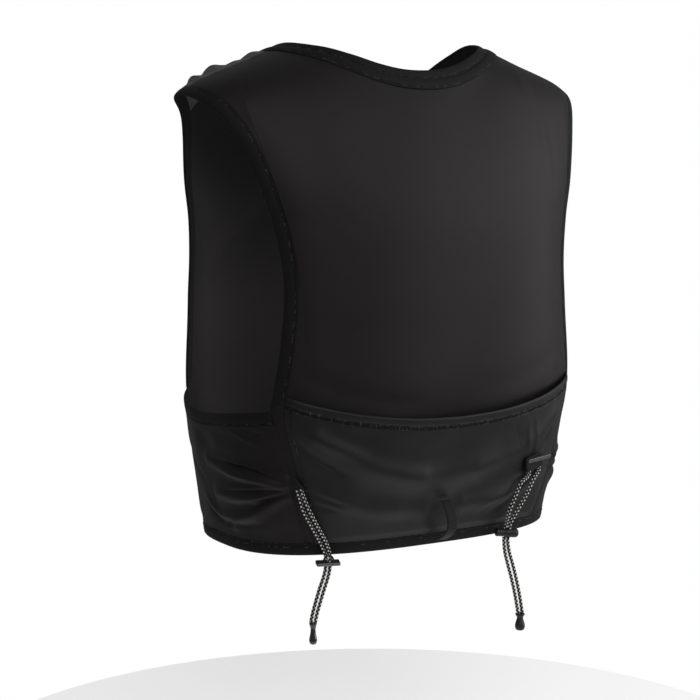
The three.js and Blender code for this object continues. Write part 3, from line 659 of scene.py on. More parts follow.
def pocket_patch(low, high):
    def patch(u, v):
        height = mix(low(u), high(u), v)
        return place((2 * u - 1) * pocket_edge(height), height)

    return patch


# How far the cloth is lifted by folds and ripples


def spine_points(path, turned):
    steps = 50
    line = line_through([dict(angle=angle * turned, height=height) for angle, height in path])
    return body_points(line(np.linspace(0, 1, steps)))


def fold_lift(folds):
    """Lifts from the main folds. Where they meet, the highest counts."""
    spines = [(fold, spine_points(fold["path"], turned)) for fold in folds for turned in (1, -1)]

    def lift(places):
        here = body_points(places)
        highest = np.zeros(here.shape[:-1])
        for fold, spine in spines:
            near = np.linalg.norm(here[..., None, :] - spine, axis=-1).min(-1)
            share = near / (fold["width"] * BACK_DEPTH)
            highest = np.maximum(highest, fold["height"] * BACK_DEPTH * np.exp(-share * share))
        return highest

    return lift


def crease_lift(creases, right_share=0):
    """Lifts from fine creases, which fade at both ends. The right side has a share of their height."""
    sides = {1: 1, -1: right_share} if right_share else {1: 1}
    spines = [
        (row["height"] * share * MM, row["width"] * MM, spine_points(row["path"], turned))
        for turned, share in sides.items()
        for row in creases
    ]

    def lift(places):
        here = body_points(places)
        total = np.zeros(here.shape[:-1])
        for height, width, spine in spines:
            distances = np.linalg.norm(here[..., None, :] - spine, axis=-1)
            along = distances.argmin(-1) / (len(spine) - 1)
            share = distances.min(-1) / width
            fade = np.sin(np.pi * np.clip(along, 0.02, 0.98)) ** 0.7
            total += height * fade * np.exp(-share * share)
        return total

    return lift


def ripple_lift(seed, length, height):
    """Lifts of a calm and uneven surface: waves of about one length in all directions."""
    random = np.random.default_rng(seed)
    waves = 7
    directions = unit(random.normal(size=(waves, 3)))
    numbers = 2 * np.pi / (length * random.uniform(0.7, 1.4, waves))
    phases = random.uniform(0, 2 * np.pi, waves)

    def lift(places):
        turns = body_points(places) @ (directions * numbers[:, None]).T + phases
        return height * np.sin(turns).sum(-1) / math.sqrt(waves)

    return lift


side_folds = fold_lift(SIDE_FOLDS)
pocket_folds = fold_lift(POCKET_FOLDS)
pocket_creases = crease_lift(POCKET_CREASES)
side_creases = crease_lift(SIDE_CREASES, right_share=0.45)
back_creases = crease_lift(BACK_CREASES)
back_ripples = ripple_lift(seed=3, length=85 * MM, height=0.45 * MM)
side_ripples = ripple_lift(seed=8, length=32 * MM, height=0.35 * MM)
pocket_ripples = ripple_lift(seed=5, length=46 * MM, height=0.5 * MM)


def pocket_lift(places):
    """How far the pocket's inner face stands off the body: it bags out, and most at its mouth."""
    fullness, flare, fade = 0.8, 2.2, 0.15
    angle, height = places[..., 0], places[..., 1]
    rise = np.maximum((height - HEM_TOP) / (mouth_height(angle) - HEM_TOP), 0)
    share = np.clip(np.abs(angle) / pocket_edge(height), 0, 1)
    across = np.cos(np.pi / 2 * share) ** fullness
    bag = POCKET_BAG_OPEN * np.sin(np.pi * np.minimum(rise, 0.5))
    mouth = (POCKET_MOUTH_OPEN - POCKET_BAG_OPEN) * rise**flare
    inside = np.clip(np.minimum(np.minimum(1 - rise, rise), 1 - share), 0, fade) / fade
    wrinkles = pocket_folds(places) + pocket_creases(places) + pocket_ripples(places)
    return BAND_TOP + LAYER_GAP + across * (bag + mouth) + wrinkles * inside


def length_aside(degrees, places):
    """The length that an angle spans on the body, level with places."""
    return np.radians(degrees) * np.hypot(*np.moveaxis(body_points(places)[..., :2], -1, 0))


def pocket_cloth_lift(places, u=None, v=None):
    """The pocket cloth, which comes down to the back where it is sewn on."""
    seam, foot, foot_start = 7 * MM, 6 * MM, -1 * MM
    angle, height = places[..., 0], places[..., 1]
    from_side = length_aside(pocket_edge(height) - np.abs(angle), places)
    from_foot = (height - HEM_TOP) * BODY_LENGTH
    seated = CLOTH_WALL + 0.1 * MM
    free = smooth_step(from_side / seam) * smooth_step((from_foot - foot_start) / foot)
    return mix(seated, pocket_lift(places), free)


def smooth_step(share):
    share = np.clip(share, 0, 1)
    return share * share * (3 - 2 * share)


def seam_dip(places):
    """The back seam draws the cloth in on both sides, unevenly."""
    width, depth, stitches = 1.7 * MM, 0.9 * MM, 1.1 * MM
    unevenness, slow_waves, seam_top, blend = 0.35, 37, -0.69, 0.01
    angle, height = places[..., 0], places[..., 1]
    away = length_aside(np.abs(angle) - angle_on(back_seam, height), places) / width
    waves_along = np.sin(height * BODY_LENGTH / stitches) * np.sin(height * slow_waves)
    below = smooth_step((seam_top - height) / blend)
    return -depth * (1 + unevenness * waves_along) * below * np.exp(-away * away)


def back_lift(places, u, v):
    calm = (back_ripples(places) + back_creases(places)) * cloth_inside(u, v)
    return side_folds(places) + near_seam_creases(places) + seam_dip(places) + calm


def near_seam_creases(places):
    """The side's creases where they run on past the back seam."""
    seam_top, blend = -0.7, 0.02
    return side_creases(places) * smooth_step((seam_top - places[..., 1]) / blend)


def side_lift(places, u, v):
    rim = 0.08
    inside = smooth_step(np.minimum(v, 1 - v) / rim)
    creases = side_creases(places) + side_ripples(places) * cloth_inside(u, v)
    return side_folds(places) + creases * inside + seam_dip(places)


def cloth_inside(u, v):
    """0 at a panel's edges, and 1 from a tenth of its size on."""
    rim = 0.1
    near = np.minimum(np.minimum(u, 1 - u), np.minimum(v, 1 - v))
    return smooth_step(near / rim)


def gather_lift(side):
    """The yoke's puckers, most by the ridge, and fine ones between them."""
    ridge_pull = 1.8
    fine_height, fine_puckers, sway = 0.35 * MM, 17, 0.6

    def lift(places, u, v):
        from_neck = u if side == "left" else 1 - u
        along = np.sin(np.pi * np.clip(v, 0, 1) ** ridge_pull)
        tall = sum(
            row["height"] * np.exp(-(((from_neck - row["at"]) / row["width"]) ** 2))
            for row in PUCKERS[side]
        )
        fine = fine_height * np.sin(2 * np.pi * (fine_puckers * from_neck + sway * np.sin(9 * v)))
        return (SHOULDER_GATHER * tall + fine) * along

    return lift


# Meshes

RIM_STEPS = np.array([0, 0.1, 0.35, 1])


def spaced(lengths, count, rim, reach):
    """Shares along many lines: close steps at both rims, and even ones between them."""
    near = (rim * RIM_STEPS - reach[0]) / lengths[:, None]
    far = 1 - (rim * RIM_STEPS[::-1] - reach[1]) / lengths[:, None]
    even = np.linspace(0, 1, count + 1)[1:-1]
    return np.hstack([near, mix(near[:, -1:], far[:, :1], even), far])


def rim_fullness(count):
    """Shares of the full wall over a line's steps, so that both rims are round."""
    round_rim = np.sqrt(1 - (1 - RIM_STEPS) ** 2)
    round_rim[0] = 0.2
    return np.concatenate([round_rim, np.ones(count - 1), round_rim[::-1]])


def patch_lengths(patch, along_u):
    """Lengths of lines over a patch, and the shares at which they lie."""
    steps, lines = np.meshgrid(np.linspace(0, 1, 33), np.linspace(0, 1, 9))
    places = patch(steps, lines) if along_u else patch(lines, steps)
    lengths = np.linalg.norm(np.diff(body_points(places), axis=1), axis=-1).sum(1)
    return lines[:, 0], lengths


def cloth_grid(patch, columns, rows, wall, reach):
    """Shares u and v of a patch's grid. reach is how far the cloth goes past each edge."""
    left, right, bottom, top = np.array(reach) * MM
    lines, rises = patch_lengths(patch, along_u=False)
    wide = columns + 2 * len(RIM_STEPS) - 1
    rises = np.interp(np.linspace(0, 1, wide), lines, rises)
    v = spaced(rises, rows, wall / 2, (bottom, top)).T
    lines, widths = patch_lengths(patch, along_u=True)
    widths = np.interp(v.mean(1), lines, widths)
    u = spaced(widths, columns, wall / 2, (left, right))
    return u, v


def cloth_shell(name, patch, finish, cells, lift, wall=CLOTH_WALL, reach=(0, 0, 0, 0)):
    """A closed wall of cloth over a patch, with round rims and a UV map in metres."""
    columns, rows = cells
    u, v = cloth_grid(patch, columns, rows, FOLDED_WALL if callable(wall) else wall, reach)
    places = patch(u, v)
    thick = wall(u, v) if callable(wall) else wall
    fullness = np.minimum.outer(rim_fullness(rows), rim_fullness(columns))
    middle = lift(places, u, v) + thick / 2
    outer = on_body(places, middle + thick / 2 * fullness)
    inner = on_body(places, middle - thick / 2 * fullness)
    points, faces = closed_wall(inner, outer)
    spread = grid_lengths(outer)
    uvs = np.concatenate([spread, spread]).reshape(-1, 2)
    piece = add_mesh(name, points, faces, finish, uvs)
    return piece


def grid_lengths(points):
    """How far each point of a grid lies from its middle column and its lowest row."""
    along = np.linalg.norm(np.diff(points, axis=1), axis=-1).cumsum(1)
    along = np.pad(along, ((0, 0), (1, 0)))
    middle = points.shape[1] // 2
    up = np.linalg.norm(np.diff(points[:, middle], axis=0), axis=-1).cumsum()
    up = np.pad(up, (1, 0))
    return np.stack([along - along[:, middle:middle + 1], np.broadcast_to(up[:, None], along.shape)], -1)


def closed_wall(inner, outer):
    """Points and faces of a closed solid between two grids of points."""
    rows, columns = inner.shape[0] - 1, inner.shape[1] - 1
    wide = columns + 1
    offset = wide * (rows + 1)
    corner = (np.arange(rows)[:, None] * wide + np.arange(columns)).ravel()
    ring = np.concatenate([
        np.arange(columns),
        np.arange(rows) * wide + columns,
        offset - 1 - np.arange(columns),
        (rows - np.arange(rows)) * wide,
    ])
    following = np.roll(ring, -1)
    faces = np.concatenate([
        np.stack([corner, corner + wide, corner + wide + 1, corner + 1], -1),
        np.stack([corner, corner + 1, corner + wide + 1, corner + wide], -1) + offset,
        np.stack([ring, following, following + offset, ring + offset], -1),
    ])
    points = np.concatenate([inner.reshape(-1, 3), outer.reshape(-1, 3)])
    return points, outward(points, faces)


def outward(points, faces):
    """The same faces of a closed mesh, turned to face out."""
    a, b, c = (points[faces[:, k]] for k in (0, 1, 2))
    d = points[faces[:, -1]]
    volume = (a * np.cross(b, c)).sum() + (a * np.cross(c, d)).sum()
    return faces if volume > 0 else faces[:, ::-1]


def add_mesh(name, points, faces, finish, uvs=None, turns=False):
    """A smooth mesh that rides on the vest, with its finish's material.

    Its name is that of the node that it stands for, and a word more. Stitches stand for none.
    Where its UV map counts turns, the faces at the join end at a full turn.
    """
    mesh = bpy.data.meshes.new(name)
    mesh.from_pydata(points.tolist(), [], [list(face) for face in faces])
    if uvs is not None:
        corners = np.empty(len(mesh.loops), int)
        mesh.loops.foreach_get("vertex_index", corners)
        spread = uvs[corners]
        if turns:
            sizes = [len(face) for face in faces]
            starts = np.cumsum([0] + sizes[:-1])
            most = np.repeat(np.maximum.reduceat(spread[:, 0], starts), sizes)
            spread[:, 0] += (spread[:, 0] < 0.01) & (most > 0.5)
        mesh.uv_layers.new(name="cloth").data.foreach_set("uv", spread.astype("f").ravel())
    mesh.polygons.foreach_set("use_smooth", [True] * len(mesh.polygons))
    piece = bpy.data.objects.new(name, mesh)
    bpy.context.collection.objects.link(piece)
    material, slot = FINISHES[finish]
    mesh.materials.append(material)
    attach(piece, "root")
    if finish != "thread":
        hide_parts(name.rsplit("_", 1)[0])
    return piece


def smooth_path(points, step):
    """Evenly spaced points on a smooth curve through points."""
    points = np.array(points, float)
    points = np.vstack([2 * points[0] - points[1], points, 2 * points[-1] - points[-2]])
    share = np.linspace(0, 1, 40, endpoint=False)[:, None]
    fine = []
    for a, b, c, d in zip(points, points[1:], points[2:], points[3:]):
        before, span, after = (np.linalg.norm(q - p) ** 0.5 for p, q in ((a, b), (b, c), (c, d)))
        start = ((b - a) / before - (c - a) / (before + span) + (c - b) / span) * span
        end = ((c - b) / span - (d - b) / (span + after) + (d - c) / after) * span
        fine.append(curve(b, c, start, end, share))
    fine = np.vstack(fine + [points[-2:-1]])
    lengths = lengths_along(fine)
    count = max(round(lengths[-1] / step), 2)
    return columns_at(np.linspace(0, lengths[-1], count + 1), lengths, fine)


def path_frames(path):
    """Two directions across a path at each of its points, without a twist."""
    ahead = unit(np.gradient(path, axis=0))
    across = [unit(np.cross(ahead[0], [0.3, 0.5, 0.8]))]
    for direction in ahead[1:]:
        across.append(unit(across[-1] - direction * (across[-1] @ direction)))
    across = np.array(across)
    return across, np.cross(ahead, across)


def tube(name, path, radius, sides, finish):
    """A round closed tube along a path. Its UV map is turns round it, and metres along it."""
    across, beyond = path_frames(path)
    turn = turns_round(sides)
    ring = across[:, None] * np.cos(turn)[:, None] + beyond[:, None] * np.sin(turn)[:, None]
    body = path[:, None] + ring * radius
    points = np.vstack([body.reshape(-1, 3), path[:1], path[-1:]])
    lengths = lengths_along(path)
    faces = ring_faces(len(path), sides)
    uvs = np.stack(np.broadcast_arrays(turn / (2 * np.pi), lengths[:, None]), -1).reshape(-1, 2)
    uvs = np.vstack([uvs, [0, 0], [0, lengths[-1]]])
    return add_mesh(name, points, faces, finish, uvs, turns=True)


def turns_round(sides):
    return np.linspace(0, 2 * np.pi, sides, endpoint=False)


def ring_faces(rings, sides):
    """Faces of a row of rings, closed by two end points that come after the rings' points."""
    k = np.arange(sides)
    after = (k + 1) % sides
    faces = []
    for ring in range(rings - 1):
        low, high = ring * sides, (ring + 1) * sides
        faces += np.stack([low + k, low + after, high + after, high + k], -1).tolist()
    foot, head = rings * sides, rings * sides + 1
    last = (rings - 1) * sides
    faces += np.stack([after, k, np.full(sides, foot)], -1).tolist()
    faces += np.stack([last + k, last + after, np.full(sides, head)], -1).tolist()
    return faces


def turned_piece(name, profile, sides, seat, finish):
    """A piece turned about its Z from a profile of (radius, along) pairs, in metres."""
    profile = np.array(profile)
    turn = turns_round(sides)
    ring = np.stack([np.cos(turn), np.sin(turn), np.zeros(sides)], -1)
    body = ring * profile[:, :1, None] + [0, 0, 1] * profile[:, 1:, None]
    ends = [[0, 0, profile[0, 1]], [0, 0, profile[-1, 1]]]
    points = np.vstack([body.reshape(-1, 3), ends])
    faces = ring_faces(len(profile), sides)
    return add_mesh(name, all_from_seat(seat, points), faces, finish)


def slab(name, size, seat, finish, corner, edge, finishing=None):
    """A flat slab with round corners and edges, its middle at its seat and its wall along Z."""
    length, width, wall = size
    corner_steps, edge_steps = 6, 4
    turns = np.linspace(0, np.pi / 2, corner_steps)
    rings = []
    for rise in np.linspace(-np.pi / 2, np.pi / 2, 2 * edge_steps):
        inset = edge * (1 - np.cos(rise))
        height = np.sign(rise) * (wall / 2 - edge) + edge * np.sin(rise)
        round_corner = max(corner - inset, edge * 0.2)
        outline = []
        for quarter, (x, y) in enumerate([(1, 1), (-1, 1), (-1, -1), (1, -1)]):
            turn = turns + quarter * np.pi / 2
            middle = np.array([x * length / 2, y * width / 2]) - np.array([x, y]) * (inset + round_corner)
            outline += (middle + round_corner * np.stack([np.cos(turn), np.sin(turn)], -1)).tolist()
        rings.append([(x, y, height) for x, y in outline])
    rings = np.array(rings)
    sides = rings.shape[1]
    points = np.vstack([rings.reshape(-1, 3), [[0, 0, -wall / 2], [0, 0, wall / 2]]])
    if finishing is not None:
        points = finishing(points)
    faces = ring_faces(len(rings), sides)
    return add_mesh(name, all_from_seat(seat, points), faces, finish)


def seated_at(angle, height, lift):
    """A 4x4 seat with Z along the body's normal and Y up the body."""
    spot = place(angle, height)
    normal = body_normals(spot)
    aside = unit(np.cross([0, 0, 1], normal))
    seat = np.eye(4)
    seat[:3, :3] = np.stack([aside, np.cross(normal, aside), normal], -1)
    seat[:3, 3] = on_body(spot, lift)
    return seat


def turned_about(axis, degrees):
    seat = np.eye(4)
    seat[:3, :3] = np.array(Euler([math.radians(degrees) * (axis == name) for name in "xyz"]).to_matrix())
    return seat


def moved_by(x, y, z):
    seat = np.eye(4)
    seat[:3, 3] = (x, y, z)
    return seat


def all_from_seat(seat, points):
    return points @ seat[:3, :3].T + seat[:3, 3]


def from_seat(seat, x, y, z):
    return all_from_seat(seat, np.array([x, y, z]))


def angle_of(length, spot):
    """The angle that a length across the body takes up at a place."""
    x, y, _ = body_points(spot)
    return math.degrees(length / math.hypot(x, y))


# Shaders


class Value:
    """A number in a shader, for sums as with any number."""

    def __init__(self, shader, socket):
        self.shader = shader
        self.socket = socket

    def math(self, operation, *others):
        return self.shader.add("Math", {"operation": operation}, *others)

    def __add__(self, other):
        return self.math("ADD", self, other)

    __radd__ = __add__

    def __sub__(self, other):
        return self.math("SUBTRACT", self, other)

    def __rsub__(self, other):
        return self.math("SUBTRACT", other, self)

    def __mul__(self, other):
        return self.math("MULTIPLY", self, other)

    __rmul__ = __mul__

    def __truediv__(self, other):
        return self.math("DIVIDE", self, other)

    def sin(self):
        return self.math("SINE", self)

    def size(self):
        return self.math("ABSOLUTE", self)

    def fraction(self):
        return self.math("FRACT", self)

    def above(self, other):
        return self.math("GREATER_THAN", self, other)


class Nodes:
    """The nodes of a material or of the world."""

    def __init__(self, owner):
        owner.use_nodes = True
        self.tree = owner.node_tree

    def add(self, kind, settings=None, *values, output=0, **inputs):
        """A node by its type: its settings, then its sockets in order or by name. Gives an output."""
        node = self.tree.nodes.new("ShaderNode" + kind)
        for name, value in (settings or {}).items():
            setattr(node, name, value)
        shown = [socket for socket in node.inputs if socket.enabled]
        by_name = {socket.name.replace(" ", "_"): socket for socket in shown}
        for socket, value in zip(shown, values):
            self.fill(socket, value)
        for name, value in inputs.items():
            self.fill(by_name[name], value)
        return Value(self, [socket for socket in node.outputs if socket.enabled][output])

    def fill(self, socket, value):
        if isinstance(value, Value):
            self.tree.links.new(value.socket, socket)
        elif isinstance(value, (tuple, list)) and socket.type == "RGBA":
            socket.default_value = (*value, 1)
        else:
            socket.default_value = value


class Shader(Nodes):
    """A material and its surface."""

    def __init__(self, name, **surface):
        self.material = bpy.data.materials.new(name)
        super().__init__(self.material)
        self.surface = self.tree.nodes["Principled BSDF"]
        self.set(**surface)

    def set(self, **sockets):
        """Sets or links the surface's own sockets."""
        for name, value in sockets.items():
            self.fill(self.surface.inputs[name.replace("_", " ")], value)

    def blend(self, share, start, end):
        """A colour between two, by a share from 0 to 1."""
        return self.add("Mix", {"data_type": "RGBA"}, share, start, end)

    def cloth_place(self):
        """How far along and up the cloth a point is, in metres."""
        place_on = self.add("UVMap", {"uv_map": "cloth"})
        return [self.add("SeparateXYZ", None, place_on, output=axis) for axis in (0, 1)]

    def noise(self, scale, detail=2.0, roughness=0.5):
        """Noise from 0 to 1 in the object's own space. The scale is in spots per metre."""
        space = self.add("TexCoord", None, output=3)
        return self.add("TexNoise", None, Vector=space, Scale=scale, Detail=detail, Roughness=roughness)

    def finished(self, colour, roughness, height, depth, **surface):
        """The material, raised by a height from 0 to 1, times a depth in metres."""
        self.set(Base_Color=colour, Roughness=roughness, **surface)
        self.set(Normal=self.add("Bump", None, Strength=1.0, Distance=depth, Height=height))
        return self.material


def waves(along, pitch):
    """Even ridges across a direction."""
    return (along * (2 * math.pi / pitch)).sin()


def knit(shader, pitch):
    """The height of a fine knit: rows of small loops."""
    along, up = shader.cloth_place()
    column = (along * (math.pi / pitch)).sin()
    row = (up * (2 * math.pi / pitch) + column * column * 1.8).sin()
    return column * column * 0.6 + row * 0.4


def knitted(name, spots, shades, loop_shade, **surface):
    """A satin knit: its shader, its shade, how uneven its gloss is, and its height."""
    shader = Shader(name, Sheen_Weight=0.03, Sheen_Roughness=0.4, **surface)
    cloud = shader.noise(spots, detail=3)
    grain = shader.noise(900, detail=1)
    loops = knit(shader, 0.7 * MM)
    shade = shader.blend(loops * 0.3, shader.blend(cloud, *shades), loop_shade)
    return shader, shade, cloud * 0.06 + grain * 0.06, loops * 0.8 + grain * 0.2


def stretch_cloth():
    """Satin black knit of the back, fronts and sides."""
    shader, shade, uneven, height = knitted(
        "stretch_cloth",
        spots=14,
        shades=((0.0055, 0.005, 0.0053), (0.0095, 0.0082, 0.0088)),
        loop_shade=(0.016, 0.014, 0.015),
        Specular_IOR_Level=0.24,
        Specular_Tint=(1.0, 0.9, 0.93),
        Sheen_Tint=(0.92, 0.88, 0.9),
    )
    return shader.finished(shade, 0.44 + uneven, height, KNIT_DEPTH)


def pocket_cloth(name, stitched):
    """The pocket's cloth, glossier than the back's. A stitched hem is dull and dark at its stitches."""
    shader, shade, uneven, height = knitted(
        name,
        spots=20,
        shades=((0.0052, 0.0051, 0.0056), (0.009, 0.0087, 0.0095)),
        loop_shade=(0.015, 0.0145, 0.0155),
        Specular_IOR_Level=0.3,
        Sheen_Tint=(0.9, 0.9, 0.94),
    )
    roughness, depth = 0.41 + uneven, KNIT_DEPTH
    if stitched:
        along, up = shader.cloth_place()
        frayed = (shader.noise(420, detail=2) - 0.5) * (1.6 * MM)
        worked = (LADDER_REACH - (up + frayed - LADDER_MIDDLE).size()).above(0.0)
        rungs = (along * (2 * math.pi / (1.7 * MM)) + shader.noise(200) * 6).sin()
        shade = shader.blend(worked, shade, (0.0025, 0.0025, 0.003))
        roughness = roughness + worked * 0.45
        height, depth = height * 0.2 - worked * (0.5 + rungs * 0.3), 0.3 * MM
    return shader.finished(shade, roughness, height, depth)


def binding_cloth():
    """Folded edging of the same black, ribbed across its length and a little duller."""
    shader = Shader("binding_cloth", Specular_IOR_Level=0.13, Sheen_Weight=0.02, Sheen_Roughness=0.5)
    ribs = waves(shader.cloth_place()[0], 0.9 * MM)
    lint = shader.noise(600, detail=3)
    cloud = shader.noise(40, detail=2)
    shade = shader.blend(cloud, (0.0048, 0.0047, 0.0053), (0.0085, 0.0082, 0.0092))
    colour = shader.blend(lint * 0.3, shade, (0.016, 0.0155, 0.017))
    return shader.finished(colour, 0.55 + lint * 0.15, ribs * 0.3 + lint * 0.7, 0.09 * MM)


def shoulder_mesh():
    """Pale open mesh over black, with rows of small holes."""
    shader = Shader("shoulder_mesh", Specular_IOR_Level=0.3, Sheen_Weight=0.1, Sheen_Roughness=0.4)
    along, up = shader.cloth_place()
    pitch = 1.5 * MM
    row = up * (math.pi / pitch)
    column = along * (math.pi / pitch)
    holes = (row.sin() * column.sin()).size()
    cloud = shader.noise(90, detail=3)
    hole = (holes - 0.62).above(0.0)
    thread = shader.blend(cloud, (0.04, 0.04, 0.041), (0.16, 0.16, 0.164))
    colour = shader.blend(hole, thread, (0.01, 0.01, 0.011))
    return shader.finished(colour, 0.5 + hole * 0.3, 1 - holes, 0.25 * MM)


def webbing():
    """Woven tape with ribs along it."""
    shader = Shader("webbing", Specular_IOR_Level=0.2, Sheen_Weight=0.04, Sheen_Roughness=0.5)
    along, up = shader.cloth_place()
    warp, weft = waves(up, 1.6 * MM), waves(along, 0.8 * MM)
    grain = shader.noise(700, detail=2)
    colour = shader.blend(grain, (0.0045, 0.0045, 0.005), (0.012, 0.012, 0.013))
    return shader.finished(colour, 0.62 + grain * 0.15, warp * 0.6 + weft * 0.25 + grain * 0.3, 0.15 * MM)


def elastic_cord():
    """Black braid with pale flecks, set like a draughtboard round the cord."""
    shader = Shader("elastic_cord", Specular_IOR_Level=0.3)
    turns, along = shader.cloth_place()
    flecks_round, pitch = 4, 3.4 * MM
    column = turns * flecks_round
    shift = (column / 2).fraction().above(0.5) * 0.5
    row = (along / pitch + shift).fraction()
    across = (column.fraction() - 0.5).size()
    fleck = (0.3 - across).above(0.0) * (row - 0.58).above(0.0)
    strands = (turns * (8 * math.pi) + along * (2 * math.pi / pitch)).sin().size()
    grain = shader.noise(1500, detail=2)
    dark = shader.blend(grain, (0.003, 0.003, 0.0033), (0.009, 0.009, 0.0095))
    colour = shader.blend(fleck * (0.75 + grain * 0.25), dark, (0.85, 0.83, 0.79))
    return shader.finished(colour, 0.6 + grain * 0.2, strands * 0.6 + fleck * 0.2 + grain * 0.2, 0.2 * MM)


def thread():
    """Twisted black sewing thread, with paler spots painted on as glints."""
    shader = Shader("thread", Specular_IOR_Level=0.1)
    fibres = shader.noise(2500, detail=2)
    painted_glints = shader.noise(260, detail=1)
    shade = shader.blend(fibres, (0.0025, 0.0025, 0.003), (0.008, 0.0078, 0.0085))
    # The paler spots that this noise scatters over the thread are painted glints of light.
    colour = shader.blend((painted_glints - 0.5) * 8, shade, (0.09, 0.087, 0.09))
    return shader.finished(colour, 0.7 + fibres * 0.2, fibres, 0.08 * MM)


def matte_plastic():
    """Moulded black plastic with a fine grain and worn highs."""
    shader = Shader("matte_plastic", Specular_IOR_Level=0.4)
    grain = shader.noise(1800, detail=2)
    wear = shader.noise(160, detail=4)
    colour = shader.blend(wear, (0.006, 0.006, 0.0065), (0.016, 0.016, 0.017))
    return shader.finished(colour, 0.38 + wear * 0.15, grain, 0.04 * MM)


def gloss_plastic():
    """Polished black plastic of the left cord end."""
    shader = Shader("gloss_plastic", Specular_IOR_Level=0.6, Coat_Roughness=0.06)
    wear = shader.noise(220, detail=4)
    colour = shader.blend(wear, (0.005, 0.005, 0.0055), (0.011, 0.011, 0.012))
    return shader.finished(colour, 0.12 + wear * 0.1, wear, 0.03 * MM, Coat_Weight=0.6 + wear * 0.3)


def bright_metal():
    """Brushed steel of the flat bars, darkened by use."""
    shader = Shader("bright_metal", Metallic=1.0)
    brush = shader.noise(1200, detail=3)
    wear = shader.noise(180, detail=3)
    colour = shader.blend(wear, (0.13, 0.13, 0.135), (0.27, 0.27, 0.28))
    return shader.finished(colour, 0.36 + brush * 0.18, brush, 0.03 * MM)


FINISHES = {
    "stretch": (stretch_cloth(), "stretch_cloth"),
    "pocket": (pocket_cloth("pocket_cloth", stitched=False), "pocket_cloth"),
    "pocket_edge": (pocket_cloth("pocket_hem_cloth", stitched=True), "binding_cloth"),
    "binding": (binding_cloth(), "binding_cloth"),
    "mesh": (shoulder_mesh(), "shoulder_mesh"),
    "webbing": (webbing(), "webbing"),
    "cord": (elastic_cord(), "elastic_cord"),
    "thread": (thread(), "binding_cloth"),
    "plastic": (matte_plastic(), "matte_fittings"),
    "gloss": (gloss_plastic(), "gloss_fittings"),
    "metal": (bright_metal(), "matte_fittings"),
}


def add_camera():
    """The view from behind and from the wearer's left, at the height of the shoulders."""
    eye = Vector((0.8982, 1.4325, -0.0195))
    yaw, pitch = math.radians(-148.7165), math.radians(-7.4496)
    ahead = Vector((
        math.cos(pitch) * math.sin(yaw),
        math.cos(pitch) * math.cos(yaw),
        math.sin(pitch),
    ))
    camera = bpy.data.objects.new("camera", bpy.data.cameras.new("camera"))
    camera.data.lens = 101.83
    camera.data.sensor_width = 36
    camera.location = eye
    camera.rotation_euler = ahead.to_track_quat("-Z", "Y").to_euler()
    bpy.context.collection.objects.link(camera)
    bpy.context.scene.camera = camera


def add_tails():
    """The free tails, each a cord from its lock, and the cord end that joins a pair."""
    for side, finish in (("left", "gloss"), ("right", "plastic")):
        feet = [np.array(TAIL_ROUTES[f"cord_tail_{side}_{strand}"][-1]) for strand in "ab"]
        drop = END_LENGTHS[side]
        seat = moved_by(*((feet[0] + feet[1]) / 2 - [0, 0, MEET_GAP + drop]))
        half = END_WIDTHS[side] / 2
        profile = [(radius * half, along * drop) for radius, along in CORD_END_PROFILES[side]]
        name = f"cord_end_{side}"
        turned_piece(name + "_drop", profile, END_SIDES, seat, finish)
    for name, route in TAIL_ROUTES.items():
        path = smooth_path(route, CORD_STEP)
        piece = tube(name + "_braid", path, CORD_WIDTH / 2, CORD_SIDES, "cord")
        side = "left" if "left" in name else "right"


def cloth_top(spot):
    """The outermost face of the cloth at places on the lower back or side."""
    on_pocket = np.abs(spot[..., 0]) < pocket_edge(spot[..., 1])
    return CLOTH_WALL + np.where(on_pocket, pocket_lift(spot), side_folds(spot))


def anchor_seat(side):
    angle, height = ANCHOR_PLACES[side]
    half_turn = angle_of(ANCHOR_WIDTHS[side] / 2, place(angle, height))
    half_rise = ANCHOR_LENGTH / 2 / BODY_LENGTH
    turns, rises = np.meshgrid([-1, 0, 1], [-1, 0, 1])
    spots = place(angle + turns * half_turn, height + rises * half_rise)
    seat = seated_at(angle, height, cloth_top(spots).max() + MEET_GAP)
    return seat @ turned_about("z", ANCHOR_TURNS[side])


def lock_seat(side):
    return seated_at(*LOCK_PLACES[side]) @ turned_about("y", LOCK_TURNS[side])


def add_bungees(side):
    """The two stretched strands of a side, from inside the tab into the lock."""
    seat, lock = anchor_seat(side), lock_seat(side)
    half_lock = {"left": BAR_WALL, "right": BARREL_WIDTH}[side] / 2
    in_anchor, in_lock = 3 * MM, 1 * MM
    for strand, sign in (("a", -1), ("b", 1)):
        name = f"bungee_{side}_{strand}"
        aside = sign * ANCHOR_SPACINGS[side] / 2
        spread = sign * STRAND_SPACING / 2
        path = [
            from_seat(seat, aside, in_anchor - ANCHOR_LENGTH / 2, ANCHOR_WALL / 2),
            from_seat(seat, aside, -ANCHOR_LENGTH / 2 - MEET_GAP - CORD_WIDTH, ANCHOR_WALL / 2),
            *(on_body(place(angle, height), lift * MM) for angle, height, lift in BUNGEE_ROUTES[name]),
            from_seat(lock, spread, half_lock + MEET_GAP + CORD_WIDTH, 0),
            from_seat(lock, spread, half_lock - in_lock, 0),
        ]
        tube(name + "_braid", smooth_path(path, CORD_STEP), CORD_WIDTH / 2, CORD_SIDES, "cord")


def pointed_tab(points):
    """Narrows a tab to a point at its top, where the seam holds it, and folds it along its middle."""
    up = points[:, 1] / ANCHOR_LENGTH + 0.5
    narrowing = mix(1, 0.2, smooth_step(up))
    folded = np.stack([points[:, 0] * narrowing, points[:, 1], points[:, 2] * mix(1, 0.5, up)], -1)
    half = ANCHOR_WIDTHS["left"] / 2
    fold_width, fold_depth = 0.16 * half, 0.9 * MM
    groove = np.exp(-((folded[:, 0] / fold_width) ** 2)) * (points[:, 2] > 0)
    folded[:, 2] -= fold_depth * groove * (1 - up)
    return folded


